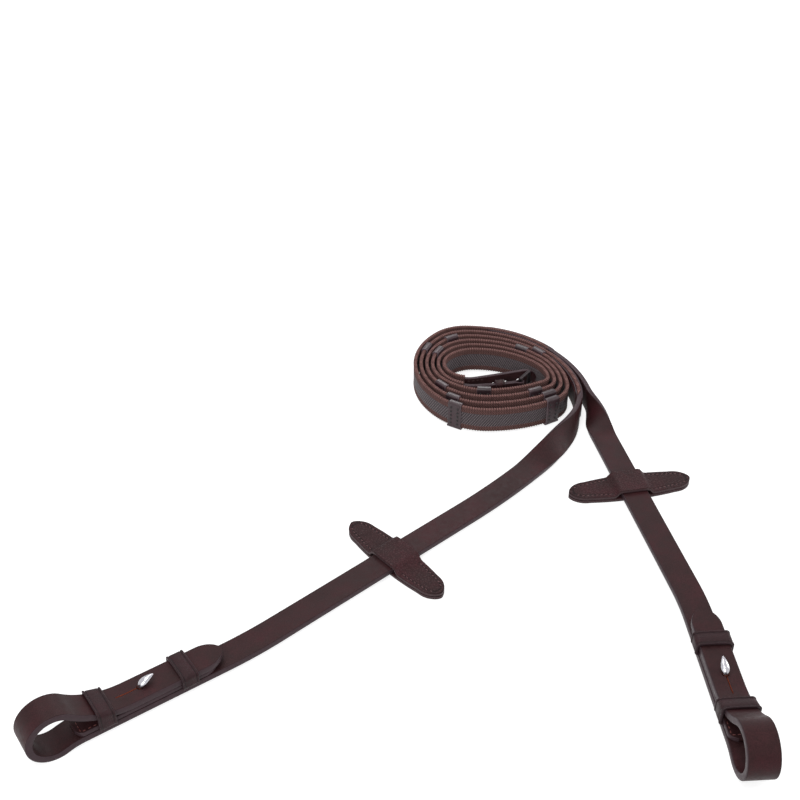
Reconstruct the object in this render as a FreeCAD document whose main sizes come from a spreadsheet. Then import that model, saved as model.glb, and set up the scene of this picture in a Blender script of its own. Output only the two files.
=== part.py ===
import FreeCAD, Part
import math
import os
import Sketcher
from FreeCAD import Placement, Rotation, Vector

# A pair of bridle reins, laid out on a floor. Millimetres, +Z up, +Y away from the bit ends.
# Each rein is one leather strap with a hook-stud bit end, a rein stop that slides on it, and a webbing
# hand part with leather hand stops. The two hand parts are wound together, on edge, into an oval coil.
# The origin is on the floor, under the middle of the whole layout.

SIZES = {
    # leather strap
    "strap_width": 16.0,
    "strap_thick": 3.2,
    "rest_lift": 2.5,
    # bit end: layers, measured along the strap from the billet's tip
    "stud_strap_thick": 3.0,
    "stud_strap_tip": 3.5,
    "stud_strap_back": 24.5,
    "stud_strap_point": 9.0,
    "billet_point": 11.0,
    "eye_reach": 106.0,
    "eye_outer_radius": 14.25,
    "eye_throat_radius": 8.0,
    "eye_heel_radius": 25.0,
    # keepers
    "keeper_length": 9.0,
    "keeper_thick": 1.2,
    "keeper_play": 0.25,
    "tip_keeper_at": 22.0,
    "eye_keeper_back": 39.5,
    # hook stud and its rivet
    "stud_at": 45.0,
    "post_radius": 1.5,
    "post_play": 0.4,
    "hook_bend": 2.2,
    "hook_arm": 3.4,
    "hook_end_radius": 1.8,
    "hook_rise": 0.6,
    "slit_length": 12.0,
    "slit_width": 0.8,
    "rivet_radius": 3.6,
    "rivet_thick": 0.9,
    # rein stop: two plies sewn together round the strap
    "stop_length": 77.0,
    "stop_waist": 20.5,
    "stop_end_width": 12.5,
    "stop_end_reach": 33.0,
    "stop_ply": 2.2,
    "stop_play": 0.3,
    "stop_ramp": 4.5,
    "left_stop_at": 55.0,
    "right_stop_at": 89.0,
    # webbing hand part, standing on edge
    "web_height": 18.0,
    "web_thick": 2.4,
    "band_length": 9.0,
    "band_wall": 1.0,
    "band_pitch": 65.4,
    # splice of the web to the strap
    "splice_length": 45.0,
    "splice_ply": 1.2,
    "splice_heel": 6.0,
    # leather hand ends and the centre buckle
    "hand_height": 14.0,
    "chape_thick": 2.8,
    "billet_thick": 2.4,
    "billet_hole_radius": 1.4,
    "billet_hole_pitch": 9.0,
    "hand_point": 8.0,
    "bar_radius": 1.1,
    "bar_play": 0.1,
    "frame_reach": 11.0,
    "frame_inner_height": 15.2,
    "tongue_radius": 0.8,
    "tongue_play": 0.08,
    "tongue_seat": 3.2,
    "tongue_slot_back": 3.0,
    "hand_keeper_length": 6.0,
    "hand_keeper_wall": 1.2,
    "hand_keeper_room": 0.4,
    "hand_keeper_back": 14.0,
    # coil: how the bands step inwards at its left, front, right and back
    "left_pitch": 3.9,
    "front_pitch": 7.3,
    "right_pitch": 4.0,
    "back_pitch": 5.7,
}

doc = FreeCAD.newDocument("reins")
sheet = doc.addObject("Spreadsheet::Sheet", "Sizes")
for row, (alias, value) in enumerate(SIZES.items(), start=1):
    sheet.set("A%d" % row, alias)
    sheet.set("B%d" % row, str(value))
    sheet.setAlias("B%d" % row, alias)
doc.recompute()

UP = Vector(0, 0, 1)
parts = []


def size(alias):
    """The value of one cell of the sheet."""
    return float(sheet.get(alias))


def bind(obj, **expressions):
    """Tie properties to the sheet. A double underscore in a name stands for a dot."""
    for name, expression in expressions.items():
        obj.setExpression(name.replace("__", "."), expression)
    return obj


def keep(obj, label, placement=None):
    """Name a finished sub-part and put it in its place."""
    obj.Label = label
    if placement is not None:
        obj.Placement = placement
    parts.append(obj)
    return obj


def keep_shape(label, shape, placement=None):
    """A sub-part whose solid follows its rein's route."""
    obj = doc.addObject("Part::Feature", label)
    obj.Shape = shape
    return keep(obj, label, placement)


# ---------------------------------------------------------------- routes: straight runs and tangent arcs

class Route:
    """A line in plan made of pieces, each (x, y, heading, length, curvature), headings in radians."""

    def __init__(self, pieces):
        self.pieces = pieces
        self.length = sum(piece[3] for piece in pieces)

    @staticmethod
    def along(piece, distance):
        """The point and heading at a distance along one piece."""
        x, y, heading, _, curvature = piece
        if curvature == 0:
            return x + distance * math.cos(heading), y + distance * math.sin(heading), heading
        turned = heading + curvature * distance
        x += (math.sin(turned) - math.sin(heading)) / curvature
        y -= (math.cos(turned) - math.cos(heading)) / curvature
        return x, y, turned

    def at(self, distance):
        """The point and heading at a distance along the whole route."""
        for piece in self.pieces:
            if distance <= piece[3] or piece is self.pieces[-1]:
                return self.along(piece, distance)
            distance -= piece[3]

    def stretch(self, start, end):
        """The pieces between two distances."""
        cut = []
        for x, y, heading, length, curvature in self.pieces:
            low, high = max(start, 0.0), min(end, length)
            if high - low > 1e-6:
                cut.append((*self.along((x, y, heading, length, curvature), low), high - low, curvature))
            start -= length
            end -= length
        return cut


def join(start, end, middle):
    """Two tangent pieces from start to end, each (x, y, heading); they meet at the middle heading."""
    spans = ((start[2], middle), (middle, end[2]))
    steps = []
    for a, b in spans:
        if abs(b - a) < 1e-9:
            steps.append((math.cos(a), math.sin(a)))
        else:
            steps.append((math.sin(b) - math.sin(a), math.cos(a) - math.cos(b)))
    (ax, ay), (bx, by) = steps
    dx, dy = end[0] - start[0], end[1] - start[1]
    det = ax * by - bx * ay
    amounts = ((dx * by - bx * dy) / det, (ax * dy - dx * ay) / det)
    pieces = []
    here = start
    for (a, b), amount in zip(spans, amounts):
        if abs(b - a) < 1e-9:
            piece = (*here, amount, 0.0)
        else:
            piece = (*here, amount * (b - a), 1.0 / amount)
        pieces.append(piece)
        here = Route.along(piece, piece[3])
    return pieces


def route_through(stations):
    """A route through stations (x, y, heading in degrees, heading where its two pieces meet)."""
    pieces = []
    for (x0, y0, h0, _), (x1, y1, h1, meet) in zip(stations, stations[1:]):
        middle = (h0 + h1) / 2 if meet is None else meet
        pieces += join((x0, y0, math.radians(h0)), (x1, y1, math.radians(h1)), math.radians(middle))
    return Route(pieces)


def side_edge(piece, offset):
    """One edge of a ribbon: the piece moved sideways, to the left where offset is positive."""
    spots = []
    for share in (0.0, 0.5, 1.0):
        x, y, heading = Route.along(piece, share * piece[3])
        spots.append(Vector(x - offset * math.sin(heading), y + offset * math.cos(heading), 0))
    if piece[4] == 0:
        return spots, Part.LineSegment(spots[0], spots[2]).toShape()
    return spots, Part.Arc(*spots).toShape()


def ribbon(pieces, left, right, height, bottom=0.0):
    """A strip between two side offsets of a stretch of route, stood up to a height."""
    port = [side_edge(piece, left) for piece in pieces]
    starboard = [side_edge(piece, right) for piece in pieces]
    edges = [edge for _, edge in port]
    edges.append(Part.LineSegment(port[-1][0][2], starboard[-1][0][2]).toShape())
    edges += [edge for _, edge in reversed(starboard)]
    edges.append(Part.LineSegment(starboard[0][0][0], port[0][0][0]).toShape())
    face = Part.Face(Part.Wire(edges))
    solid = face.extrude(UP * height)
    solid.translate(UP * bottom)
    return solid


def fuse(solids):
    """One solid from solids that meet face to face."""
    return solids[0].multiFuse(solids[1:]).removeSplitter()


# ---------------------------------------------------------------- the layout of the two reins

# Places in the layout, measured from the corner of the floor that the layout was set out from.
LAYOUT_X, LAYOUT_Y = -2.6, -123.3
# The front of the coil is flat and its front right corner tight: the heading where the two arcs meet.
FRONT_CORNER = 30
COIL = {
    "left": (10.4, 17.0, 270, size("left_pitch"), 0.0),
    "front": (57.0, -35.4, 360, 0.0, size("front_pitch")),
    "right": (118.6, -11.0, 90, -size("right_pitch"), 2.5),
    "back": (46.0, 63.4, 180, 1.0, -size("back_pitch")),
}


def on_coil(side, band, turns=0):
    """The station where a band, counted from outside, passes one side of the coil."""
    x, y, angle, step_x, step_y = COIL[side]
    meet = FRONT_CORNER + 360 * turns if side == "right" else None
    return (x + band * step_x, y + band * step_y, angle + 360 * turns, meet)


def shifted(stations):
    """The stations moved so that the origin is under the middle of the layout."""
    return [(x - LAYOUT_X, y - LAYOUT_Y, heading, meet) for x, y, heading, meet in stations]


LEFT_TIP = (-91.5, -232.5, 34.8, None)
LEFT_BEND = (38.5, -120.0, 41.5, 41.5)
LEFT_ENTRY = (117.0, -6.0, 97.0, 53.0)
RIGHT_TIP = (160.0, -205.0, 93.5, None)
RIGHT_ENTRY = (123.0, -6.0, 101.0, 101.0)

left_route = route_through(shifted([
    LEFT_TIP, LEFT_BEND, LEFT_ENTRY,
    on_coil("back", 1), on_coil("left", 1), on_coil("front", 1),
    on_coil("right", 3, 1), on_coil("back", 3, 1), on_coil("left", 3, 1), on_coil("front", 3, 1),
    on_coil("right", 5, 2), on_coil("back", 5, 2), on_coil("left", 5, 2),
    (50.0, 2.2, 1094, None), (92.0, 13.6, 1096, None),
]))
right_route = route_through(shifted([
    RIGHT_TIP, RIGHT_ENTRY,
    on_coil("back", 0), on_coil("left", 0), on_coil("front", 0),
    on_coil("right", 2, 1), on_coil("back", 2, 1), on_coil("left", 2, 1), on_coil("front", 2, 1),
    on_coil("right", 4, 2), on_coil("back", 4, 2), on_coil("left", 4, 2),
    (50.0, -6.6, 1085, None), (80.0, -1.8, 1094, None),
]))


def distance_to(route, station):
    """The distance along a route to the joint nearest a station."""
    x, y = station[0] - LAYOUT_X, station[1] - LAYOUT_Y
    best, run = None, 0.0
    for piece in route.pieces:
        gap = math.hypot(piece[0] - x, piece[1] - y)
        if best is None or gap < best[0]:
            best = (gap, run)
        run += piece[3]
    return best[1]


class Rein:
    """Where things lie along one rein, from the billet's tip (0) to the hand end."""

    def __init__(self, side, route, lean, entry, twist_from, twist_to, web_from, first_band, web_end):
        self.side = side
        self.route = route
        self.lean = lean
        self.flat_end = entry + twist_from
        self.edge_start = entry + twist_to
        self.web_start = entry + web_from
        self.first_band = first_band
        self.web_end = web_end
        x, y, heading = route.at(0)
        turn = Rotation(UP, math.degrees(heading) + 180)
        self.bit_end = Placement(Vector(x, y, 0), turn)


def past(route, side, band, distance):
    """A distance along a route, counted on from where a band passes one side of the coil."""
    return distance_to(route, on_coil(side, band)) + distance


# Each rein turns on edge, and its web begins, at these distances from where it enters the coil.
left_entry = distance_to(left_route, LEFT_ENTRY)
right_entry = distance_to(right_route, RIGHT_ENTRY)
reins = [
    Rein("left", left_route, 1, left_entry, twist_from=-92, twist_to=-14, web_from=-8,
         first_band=past(left_route, "left", 1, -20), web_end=past(left_route, "left", 5, 22)),
    Rein("right", right_route, -1, right_entry, twist_from=-42, twist_to=-6, web_from=52,
         first_band=past(right_route, "front", 0, -22), web_end=past(right_route, "left", 4, 30)),
]
web_middle = size("band_wall") + size("web_height") / 2


# ---------------------------------------------------------------- rein strap

def twist(rein):
    """The stretch where the strap turns from lying flat to standing on edge."""
    steps = 8
    half_width, half_thick = size("strap_width") / 2, size("strap_thick") / 2
    flat_middle = size("rest_lift") + half_thick
    wires = []
    for step in range(steps + 1):
        share = step / steps
        x, y, heading = rein.route.at(rein.flat_end + share * (rein.edge_start - rein.flat_end))
        angle = math.radians(90 * share)
        level = flat_middle + (web_middle - flat_middle) * share
        side = Vector(-math.sin(heading), math.cos(heading), 0) * rein.lean
        across = side * math.cos(angle) + UP * math.sin(angle)
        through = UP * math.cos(angle) - side * math.sin(angle)
        middle = Vector(x, y, level)
        corners = [
            middle + across * (half_width * i) + through * (half_thick * j)
            for i, j in ((1, 1), (-1, 1), (-1, -1), (1, -1), (1, 1))
        ]
        wires.append(Part.makePolygon(corners))
    return Part.makeLoft(wires, True, True)


def eye_side():
    """The side line of the bit end: along the floor layer, round the eye, and back as the billet."""
    half = size("strap_thick") / 2
    low = size("rest_lift") + half
    high = size("rest_lift") + size("strap_thick") + size("stud_strap_thick") + half
    radius = size("eye_outer_radius") - half
    centre_x, centre_z = size("eye_reach") - size("eye_outer_radius"), size("eye_outer_radius")
    heel, throat = size("eye_heel_radius"), size("eye_throat_radius")
    heel_turn = math.acos((centre_z - low + heel) / (radius + heel))
    heel_x = centre_x - (radius + heel) * math.sin(heel_turn)
    throat_turn = math.asin((high + throat - centre_z) / (radius + throat))
    throat_x = centre_x - (radius + throat) * math.cos(throat_turn)
    pieces = [(0.0, low, 0.0, heel_x, 0.0)]
    for length, curvature in (
        (heel * heel_turn, -1 / heel),
        (radius * (heel_turn + math.pi * 1.5 - throat_turn), 1 / radius),
        (throat * (math.pi / 2 - throat_turn), -1 / throat),
    ):
        here = Route.along(pieces[-1], pieces[-1][3])
        pieces.append((*here, length, curvature))
    return pieces, throat_x, high - half


def on_side(solid, width):
    """Turn a solid drawn in plan up onto its side, centred across the strap."""
    solid.Placement = Placement(Vector(0, width / 2, 0), Rotation(Vector(1, 0, 0), 90))
    return solid


# How far along a point, and how wide there, its curved side swells. Both are shares.
SWELL_AT, SWELL = 0.32, 0.68


def pointed_plan(start, end, point, width, thick, bottom):
    """A flat layer with an ogival point at its start."""
    half = width / 2
    tip = Vector(start, 0, bottom)
    near = Vector(start + point * SWELL_AT, half * SWELL, bottom)
    shoulder = Vector(start + point, half, bottom)
    far = Vector(end, half, bottom)

    def mirrored(spot):
        return Vector(spot.x, -spot.y, spot.z)

    edges = [
        Part.Arc(tip, near, shoulder).toShape(),
        Part.LineSegment(shoulder, far).toShape(),
        Part.LineSegment(far, mirrored(far)).toShape(),
        Part.LineSegment(mirrored(far), mirrored(shoulder)).toShape(),
        Part.Arc(mirrored(shoulder), mirrored(near), tip).toShape(),
    ]
    return Part.Face(Part.Wire(edges)).extrude(UP * thick)


def bit_end_strap():
    """The strap's bit end in its own frame: x from the billet's tip towards the eye."""
    width, thick = size("strap_width"), size("strap_thick")
    side_line, throat_x, billet_bottom = eye_side()
    loop = on_side(ribbon(side_line, thick / 2, -thick / 2, width), width)
    billet = pointed_plan(0, throat_x, size("billet_point"), width, thick, billet_bottom)
    hole_radius = size("post_radius") + size("post_play")
    hole = Part.makeCylinder(hole_radius, thick, Vector(size("stud_at"), 0, billet_bottom))
    slit = Part.makeBox(size("slit_length"), size("slit_width"), thick,
                        Vector(size("stud_at"), -size("slit_width") / 2, billet_bottom))
    return loop, billet.cut(hole.fuse(slit))


def make_rein_strap(rein):
    """One leather strap: splice ply, coil end on edge, twist, flat run, eye and billet."""
    width, thick = size("strap_width"), size("strap_thick")
    low_edge = web_middle - width / 2
    half_web, ply = size("web_thick") / 2, size("splice_ply")
    route = rein.route
    flat = ribbon(route.stretch(0, rein.flat_end), width / 2, -width / 2, thick, size("rest_lift"))
    heel = rein.web_start - size("splice_heel")
    upright = []
    if heel > rein.edge_start:
        upright.append(ribbon(route.stretch(rein.edge_start, heel), thick / 2, -thick / 2, width, low_edge))
    upright.append(ribbon(route.stretch(heel, rein.web_start), half_web, -half_web - ply, width, low_edge))
    upright.append(ribbon(route.stretch(rein.web_start, rein.web_start + size("splice_length")),
                          -half_web, -half_web - ply, width, low_edge))
    loop, billet = bit_end_strap()
    for solid in (loop, billet):
        solid.Placement = rein.bit_end.multiply(solid.Placement)
    return keep_shape(rein.side + "_rein_strap", fuse([flat, twist(rein)] + upright + [loop, billet]))


def make_splice_facing(rein):
    """The second leather layer on the web's end, towards the middle of the coil."""
    half_web, ply = size("web_thick") / 2, size("splice_ply")
    bottom = web_middle - size("strap_width") / 2
    line = rein.route.stretch(rein.web_start - size("splice_heel"), rein.web_start + size("splice_length"))
    facing = ribbon(line, half_web + ply, half_web, size("strap_width"), bottom)
    return keep_shape(rein.side + "_splice_facing", facing)


# ---------------------------------------------------------------- bit end fittings

def make_box(name, length, width, height, x, y, z):
    """A box whose sizes and corner are expressions of the sheet."""
    return bind(doc.addObject("Part::Box", name), Length=length, Width=width, Height=height,
                Placement__Base__x=x, Placement__Base__y=y, Placement__Base__z=z)


def make_cylinder(name, radius, height, x, y, z):
    """An upright cylinder whose sizes and place are expressions of the sheet."""
    return bind(doc.addObject("Part::Cylinder", name), Radius=radius, Height=height,
                Placement__Base__x=x, Placement__Base__y=y, Placement__Base__z=z)


def make_cut(name, base, tool):
    """Base less tool."""
    cut = doc.addObject("Part::Cut", name)
    cut.Base, cut.Tool = base, tool
    return cut


def make_fusion(name, shapes):
    """Several shapes as one."""
    fusion = doc.addObject("Part::MultiFuse", name)
    fusion.Shapes = shapes
    fusion.Refine = True
    return fusion


FLOOR_LAYER_TOP = "(Sizes.rest_lift + Sizes.strap_thick)"
BILLET_TOP = "(Sizes.rest_lift + 2 * Sizes.strap_thick + Sizes.stud_strap_thick)"
KEEPER_OUTSIDE = "(Sizes.strap_width + 2 * Sizes.keeper_play + 2 * Sizes.keeper_thick)"
TIP_KEEPER_AT = "Sizes.tip_keeper_at"
EYE_KEEPER_AT = "(Sizes.eye_reach - Sizes.eye_keeper_back)"


def make_keeper(rein, name, centre):
    """A leather loop round the billet; its turned-in ends lie between the two lower layers."""
    label = rein.side + "_" + name
    start = "%s - Sizes.keeper_length / 2" % centre
    outside = make_box(label + "_outside", "Sizes.keeper_length", KEEPER_OUTSIDE,
                       "%s - %s + Sizes.keeper_play + Sizes.keeper_thick" % (BILLET_TOP, FLOOR_LAYER_TOP),
                       start, "-%s / 2" % KEEPER_OUTSIDE, FLOOR_LAYER_TOP)
    inside = make_box(label + "_inside", "Sizes.keeper_length",
                      "Sizes.strap_width + 2 * Sizes.keeper_play",
                      "%s - %s + Sizes.keeper_play - Sizes.keeper_thick" % (BILLET_TOP, FLOOR_LAYER_TOP),
                      start, "-Sizes.strap_width / 2 - Sizes.keeper_play",
                      "%s + Sizes.keeper_thick" % FLOOR_LAYER_TOP)
    ring = make_cut(label + "_ring", outside, inside)
    doc.recompute()
    # The two upper outside corners are rounded: the lengthwise edges beyond the inside's top and side.
    inside_top = size("rest_lift") + 2 * size("strap_thick") + size("stud_strap_thick") + size("keeper_play")
    inside_half = size("strap_width") / 2 + size("keeper_play")
    corners = []
    for number, edge in enumerate(ring.Shape.Edges, start=1):
        box = edge.BoundBox
        lengthwise = box.XLength > size("keeper_length") / 2
        outer = max(abs(box.YMin), abs(box.YMax)) > inside_half + size("keeper_thick") / 2
        if lengthwise and outer and box.ZMin > inside_top + size("keeper_thick") / 2:
            corners.append((number, size("keeper_thick"), size("keeper_thick")))
    rounded = doc.addObject("Part::Fillet", label + "_rounded")
    rounded.Base = ring
    rounded.Edges = corners
    return keep(rounded, label, rein.bit_end)


def make_stud_strap(rein):
    """The middle layer, with room under it for the keepers' ends and the rivet."""
    label = rein.side + "_stud_strap"
    blank = doc.addObject("Part::Feature", label + "_blank")
    end = size("eye_reach") - size("stud_strap_back")
    blank.Shape = pointed_plan(size("stud_strap_tip"), end, size("stud_strap_point"), size("strap_width"),
                               size("stud_strap_thick"), size("rest_lift") + size("strap_thick"))
    tools = []
    for name, centre in (("tip", TIP_KEEPER_AT), ("eye", EYE_KEEPER_AT)):
        tools.append(make_box(label + "_" + name + "_notch", "Sizes.keeper_length + 2 * Sizes.keeper_play",
                              "Sizes.strap_width", "Sizes.keeper_thick",
                              "%s - Sizes.keeper_length / 2 - Sizes.keeper_play" % centre,
                              "-Sizes.strap_width / 2", FLOOR_LAYER_TOP))
    tools.append(make_cylinder(label + "_rivet_seat", "Sizes.rivet_radius + Sizes.keeper_play",
                               "Sizes.rivet_thick", "Sizes.stud_at", "0", FLOOR_LAYER_TOP))
    tools.append(make_cylinder(label + "_post_hole", "Sizes.post_radius", "Sizes.stud_strap_thick",
                               "Sizes.stud_at", "0", FLOOR_LAYER_TOP))
    return keep(make_cut(label + "_cut", blank, make_fusion(label + "_tools", tools)), label, rein.bit_end)


def make_hook_stud(rein):
    """A post through the middle layer and the billet, bent over into a hook towards the tip."""
    label = rein.side + "_hook_stud"
    bottom = "%s + Sizes.rivet_thick" % FLOOR_LAYER_TOP
    shoulder = "(%s + Sizes.hook_rise)" % BILLET_TOP
    post = make_cylinder(label + "_post", "Sizes.post_radius", "%s - (%s)" % (shoulder, bottom),
                         "Sizes.stud_at", "0", bottom)
    bend = doc.addObject("Part::Torus", label + "_bend")
    bind(bend, Radius1="Sizes.hook_bend", Radius2="Sizes.post_radius",
         Placement__Base__x="Sizes.stud_at - Sizes.hook_bend", Placement__Base__z=shoulder)
    bend.Angle3 = 90
    bend.Placement.Rotation = Rotation(Vector(1, 0, 0), 90)
    arm = make_cylinder(label + "_arm", "Sizes.post_radius", "Sizes.hook_arm",
                        "Sizes.stud_at - Sizes.hook_bend", "0", "%s + Sizes.hook_bend" % shoulder)
    arm.Placement.Rotation = Rotation(Vector(0, 1, 0), -90)
    end = bind(doc.addObject("Part::Sphere", label + "_end"), Radius="Sizes.hook_end_radius",
               Placement__Base__x="Sizes.stud_at - Sizes.hook_bend - Sizes.hook_arm",
               Placement__Base__z="%s + Sizes.hook_bend" % shoulder)
    end.Placement.Rotation = Rotation(Vector(0, 1, 0), -90)
    return keep(make_fusion(label + "_hook", [post, bend, arm, end]), label, rein.bit_end)


def make_stud_rivet(rein):
    """The burr under the middle layer, on which the hook stud's post is riveted."""
    label = rein.side + "_stud_rivet"
    rivet = make_cylinder(label, "Sizes.rivet_radius", "Sizes.rivet_thick",
                          "Sizes.stud_at", "0", FLOOR_LAYER_TOP)
    doc.recompute()
    place = rein.bit_end.multiply(rivet.Placement)
    for axis in "xyz":
        rivet.setExpression("Placement.Base." + axis, None)
    return keep(rivet, label, place)


# ---------------------------------------------------------------- rein stops

def draw(name, spots, arcs, turn=None):
    """A closed sketch through spots, each a pair of expressions. arcs: edge number to bulge in mm."""
    sketch = doc.addObject("Sketcher::SketchObject", name)
    if turn is not None:
        sketch.Placement = Placement(Vector(0, 0, 0), turn)
    plain = {"Sizes." + alias: str(size(alias)) for alias in SIZES}
    values = []
    for pair in spots:
        numbers = []
        for text in pair:
            for alias in sorted(plain, key=len, reverse=True):
                text = text.replace(alias, plain[alias])
            numbers.append(FreeCAD.Units.Quantity(text).Value)
        values.append(Vector(numbers[0], numbers[1], 0))
    count = len(spots)
    ends = []
    for edge in range(count):
        a, b = values[edge], values[(edge + 1) % count]
        if edge in arcs:
            across = (b - a).cross(UP).normalize() * arcs[edge]
            curve = Part.Arc(a, (a + b) * 0.5 + across, b)
            number = sketch.addGeometry(curve)
            starts_at_a = sketch.Geometry[number].StartPoint.distanceToPoint(a) < 1e-6
            ends.append((number, 1, 2) if starts_at_a else (number, 2, 1))
        else:
            ends.append((sketch.addGeometry(Part.LineSegment(a, b)), 1, 2))
    for edge in range(count):
        number, _, last = ends[edge]
        following, first, _ = ends[(edge + 1) % count]
        sketch.addConstraint(Sketcher.Constraint("Coincident", number, last, following, first))
        if edge in arcs:
            radius = sketch.addConstraint(Sketcher.Constraint("Radius", number,
                                                              sketch.Geometry[number].Radius))
            sketch.renameConstraint(radius, "radius_%d" % edge)
    for edge, (across, along) in enumerate(spots):
        number, first, _ = ends[edge]
        for kind, text, value in (("DistanceX", across, values[edge].x), ("DistanceY", along, values[edge].y)):
            place = sketch.addConstraint(Sketcher.Constraint(kind, -1, 1, number, first, value))
            sketch.renameConstraint(place, "%s_%d" % (kind, edge))
            sketch.setExpression("Constraints.%s_%d" % (kind, edge), text)
    return sketch


def extrude(name, sketch, direction, length):
    """A solid from a sketch."""
    solid = doc.addObject("Part::Extrusion", name)
    solid.Base = sketch
    solid.DirMode = "Custom"
    solid.Dir = direction
    solid.Solid = True
    return bind(solid, LengthFwd=length)


# How far the arcs of a stop's sides and of its round ends stand out from their chords.
SIDE_BULGE, END_BULGE, RIDGE_BULGE = 0.7, 1.7, 0.5


def stop_outline(label):
    """The leaf outline of a rein stop, in plan: widest at the strap, narrow at its two round ends."""
    half_waist, half_end = "Sizes.stop_waist / 2", "Sizes.stop_end_width / 2"
    reach, tip = "Sizes.stop_end_reach", "Sizes.stop_length / 2"
    spots = [
        (half_waist, "0"), (half_end, reach), ("0", tip), ("-" + half_end, reach),
        ("-" + half_waist, "0"), ("-" + half_end, "-" + reach), ("0", "-" + tip), (half_end, "-" + reach),
    ]
    bulges = (SIDE_BULGE, END_BULGE, END_BULGE, SIDE_BULGE) * 2
    return draw(label, spots, dict(enumerate(bulges)))


def make_stop(rein, stop_at):
    """Two leather plies, sewn together in the wings, that hold the strap between them."""
    x, y, heading = rein.route.at(stop_at)
    place = Placement(Vector(x, y, 0), Rotation(UP, math.degrees(heading)))
    label = rein.side + "_stop_bottom_ply"
    bottom = extrude(label, stop_outline(label + "_outline"), UP, "Sizes.stop_ply")
    keep(bottom, label, place)

    label = rein.side + "_stop_top_ply"
    slot = "(Sizes.strap_width / 2 + Sizes.stop_play)"
    foot = "(%s + Sizes.stop_ramp)" % slot
    roof = "(Sizes.rest_lift + Sizes.strap_thick + Sizes.stop_play)"
    wing = "Sizes.stop_length / 2"
    ply = "Sizes.stop_ply"
    hump = draw(label + "_hump", [
        (wing, ply), (wing, "2 * " + ply), (foot + " + 0.6 * " + ply, "2 * " + ply),
        (slot + " + 0.2 * " + ply, roof + " + " + ply),
        ("-(%s) - 0.2 * %s" % (slot, ply), roof + " + " + ply),
        ("-(%s) - 0.6 * %s" % (foot, ply), "2 * " + ply), ("-" + wing, "2 * " + ply), ("-" + wing, ply),
        ("-" + foot, ply), ("-" + slot, roof), (slot, roof), (foot, ply),
    ], {3: RIDGE_BULGE}, Rotation(Vector(0, 1, 0), Vector(0, 0, 1), Vector(1, 0, 0), "ZXY"))
    bar = extrude(label + "_bar", hump, Vector(1, 0, 0), "2 * Sizes.stop_waist")
    bar.Symmetric = True
    plan = extrude(label + "_plan", stop_outline(label + "_outline"), UP, "10 * Sizes.stop_ply")
    leaf = doc.addObject("Part::Common", label + "_leaf")
    leaf.Base, leaf.Tool = bar, plan
    keep(leaf, label, place)


# ---------------------------------------------------------------- hand part

def make_web(rein):
    """The webbing hand part, wound on edge in the coil."""
    half = size("web_thick") / 2
    line = rein.route.stretch(rein.web_start, rein.web_end)
    return keep_shape(rein.side + "_grip_web", ribbon(line, half, -half, size("web_height"), size("band_wall")))


def make_hand_stops(rein):
    """Six leather bands sewn round the web."""
    half, wall = size("web_thick") / 2, size("band_wall")
    for number in range(6):
        middle = rein.first_band + number * size("band_pitch")
        line = rein.route.stretch(middle - size("band_length") / 2, middle + size("band_length") / 2)
        outside = ribbon(line, half + wall, -half - wall, size("web_height") + 2 * wall)
        inside = ribbon(line, half, -half, size("web_height"), wall)
        keep_shape("%s_hand_stop_%d" % (rein.side, number + 1), outside.cut(inside))


# The same for the hand billet's straight-sided point, measured back from its tip.
HAND_SWELL_AT, HAND_SWELL = 0.45, 0.72
HAND_HOLES = 3


def make_hand_billet(rein):
    """The left rein's hand end: a leather billet with buckle holes and a pointed tip."""
    half, height = size("billet_thick") / 2, size("hand_height")
    bottom = web_middle - height / 2
    end = rein.route.length
    strip = ribbon(rein.route.stretch(rein.web_end, end), half, -half, height, bottom)
    x, y, heading = rein.route.at(end)
    tip = Placement(Vector(x, y, web_middle), Rotation(UP, math.degrees(heading)))
    point = size("hand_point")
    for side in (1, -1):
        corner = Part.makePolygon([
            Vector(0, 0, 0), Vector(-point * HAND_SWELL_AT, 0, side * height / 2 * HAND_SWELL),
            Vector(-point, 0, side * height / 2), Vector(-point, 0, side * height),
            Vector(point, 0, side * height), Vector(point, 0, 0), Vector(0, 0, 0)])
        cutter = Part.Face(corner).extrude(Vector(0, 4 * half, 0))
        cutter.translate(Vector(0, -2 * half, 0))
        cutter.Placement = tip.multiply(cutter.Placement)
        strip = strip.cut(cutter)
    for number in range(1, HAND_HOLES + 1):
        x, y, heading = rein.route.at(end - point / 2 - number * size("billet_hole_pitch"))
        through = Vector(-math.sin(heading), math.cos(heading), 0)
        start = Vector(x, y, web_middle) - through * (2 * half)
        strip = strip.cut(Part.makeCylinder(size("billet_hole_radius"), 4 * half, start, through))
    return keep_shape("left_hand_billet", strip)


def make_chape(rein):
    """The right rein's hand end: folded round the buckle's bar, with a slot for the tongue."""
    half, height = size("chape_thick") / 2, size("hand_height")
    bottom = web_middle - height / 2
    bar_hole = size("bar_radius") + size("bar_play")
    fold = bar_hole + half
    end = rein.route.length
    strip = ribbon(rein.route.stretch(rein.web_end, end - bar_hole), half, -half, height, bottom)
    x, y, heading = rein.route.at(end)
    seat = size("tongue_seat") + 2 * size("stop_play")
    fold_solid = Part.makeCylinder(fold, height, Vector(x, y, bottom))
    hole = Part.makeCylinder(bar_hole, height, Vector(x, y, bottom))
    back = fold + size("tongue_slot_back")
    slot = Part.makeBox(back + 2 * fold, 4 * fold, seat, Vector(-back, -2 * fold, -seat / 2))
    slot.Placement = Placement(Vector(x, y, web_middle), Rotation(UP, math.degrees(heading))).multiply(
        slot.Placement)
    return keep_shape("right_chape", strip.fuse(fold_solid).removeSplitter().cut(hole).cut(slot))


# The open buckle hangs from the chape at this angle, towards the other rein's end. Degrees.
BUCKLE_TURN = 40


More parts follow.
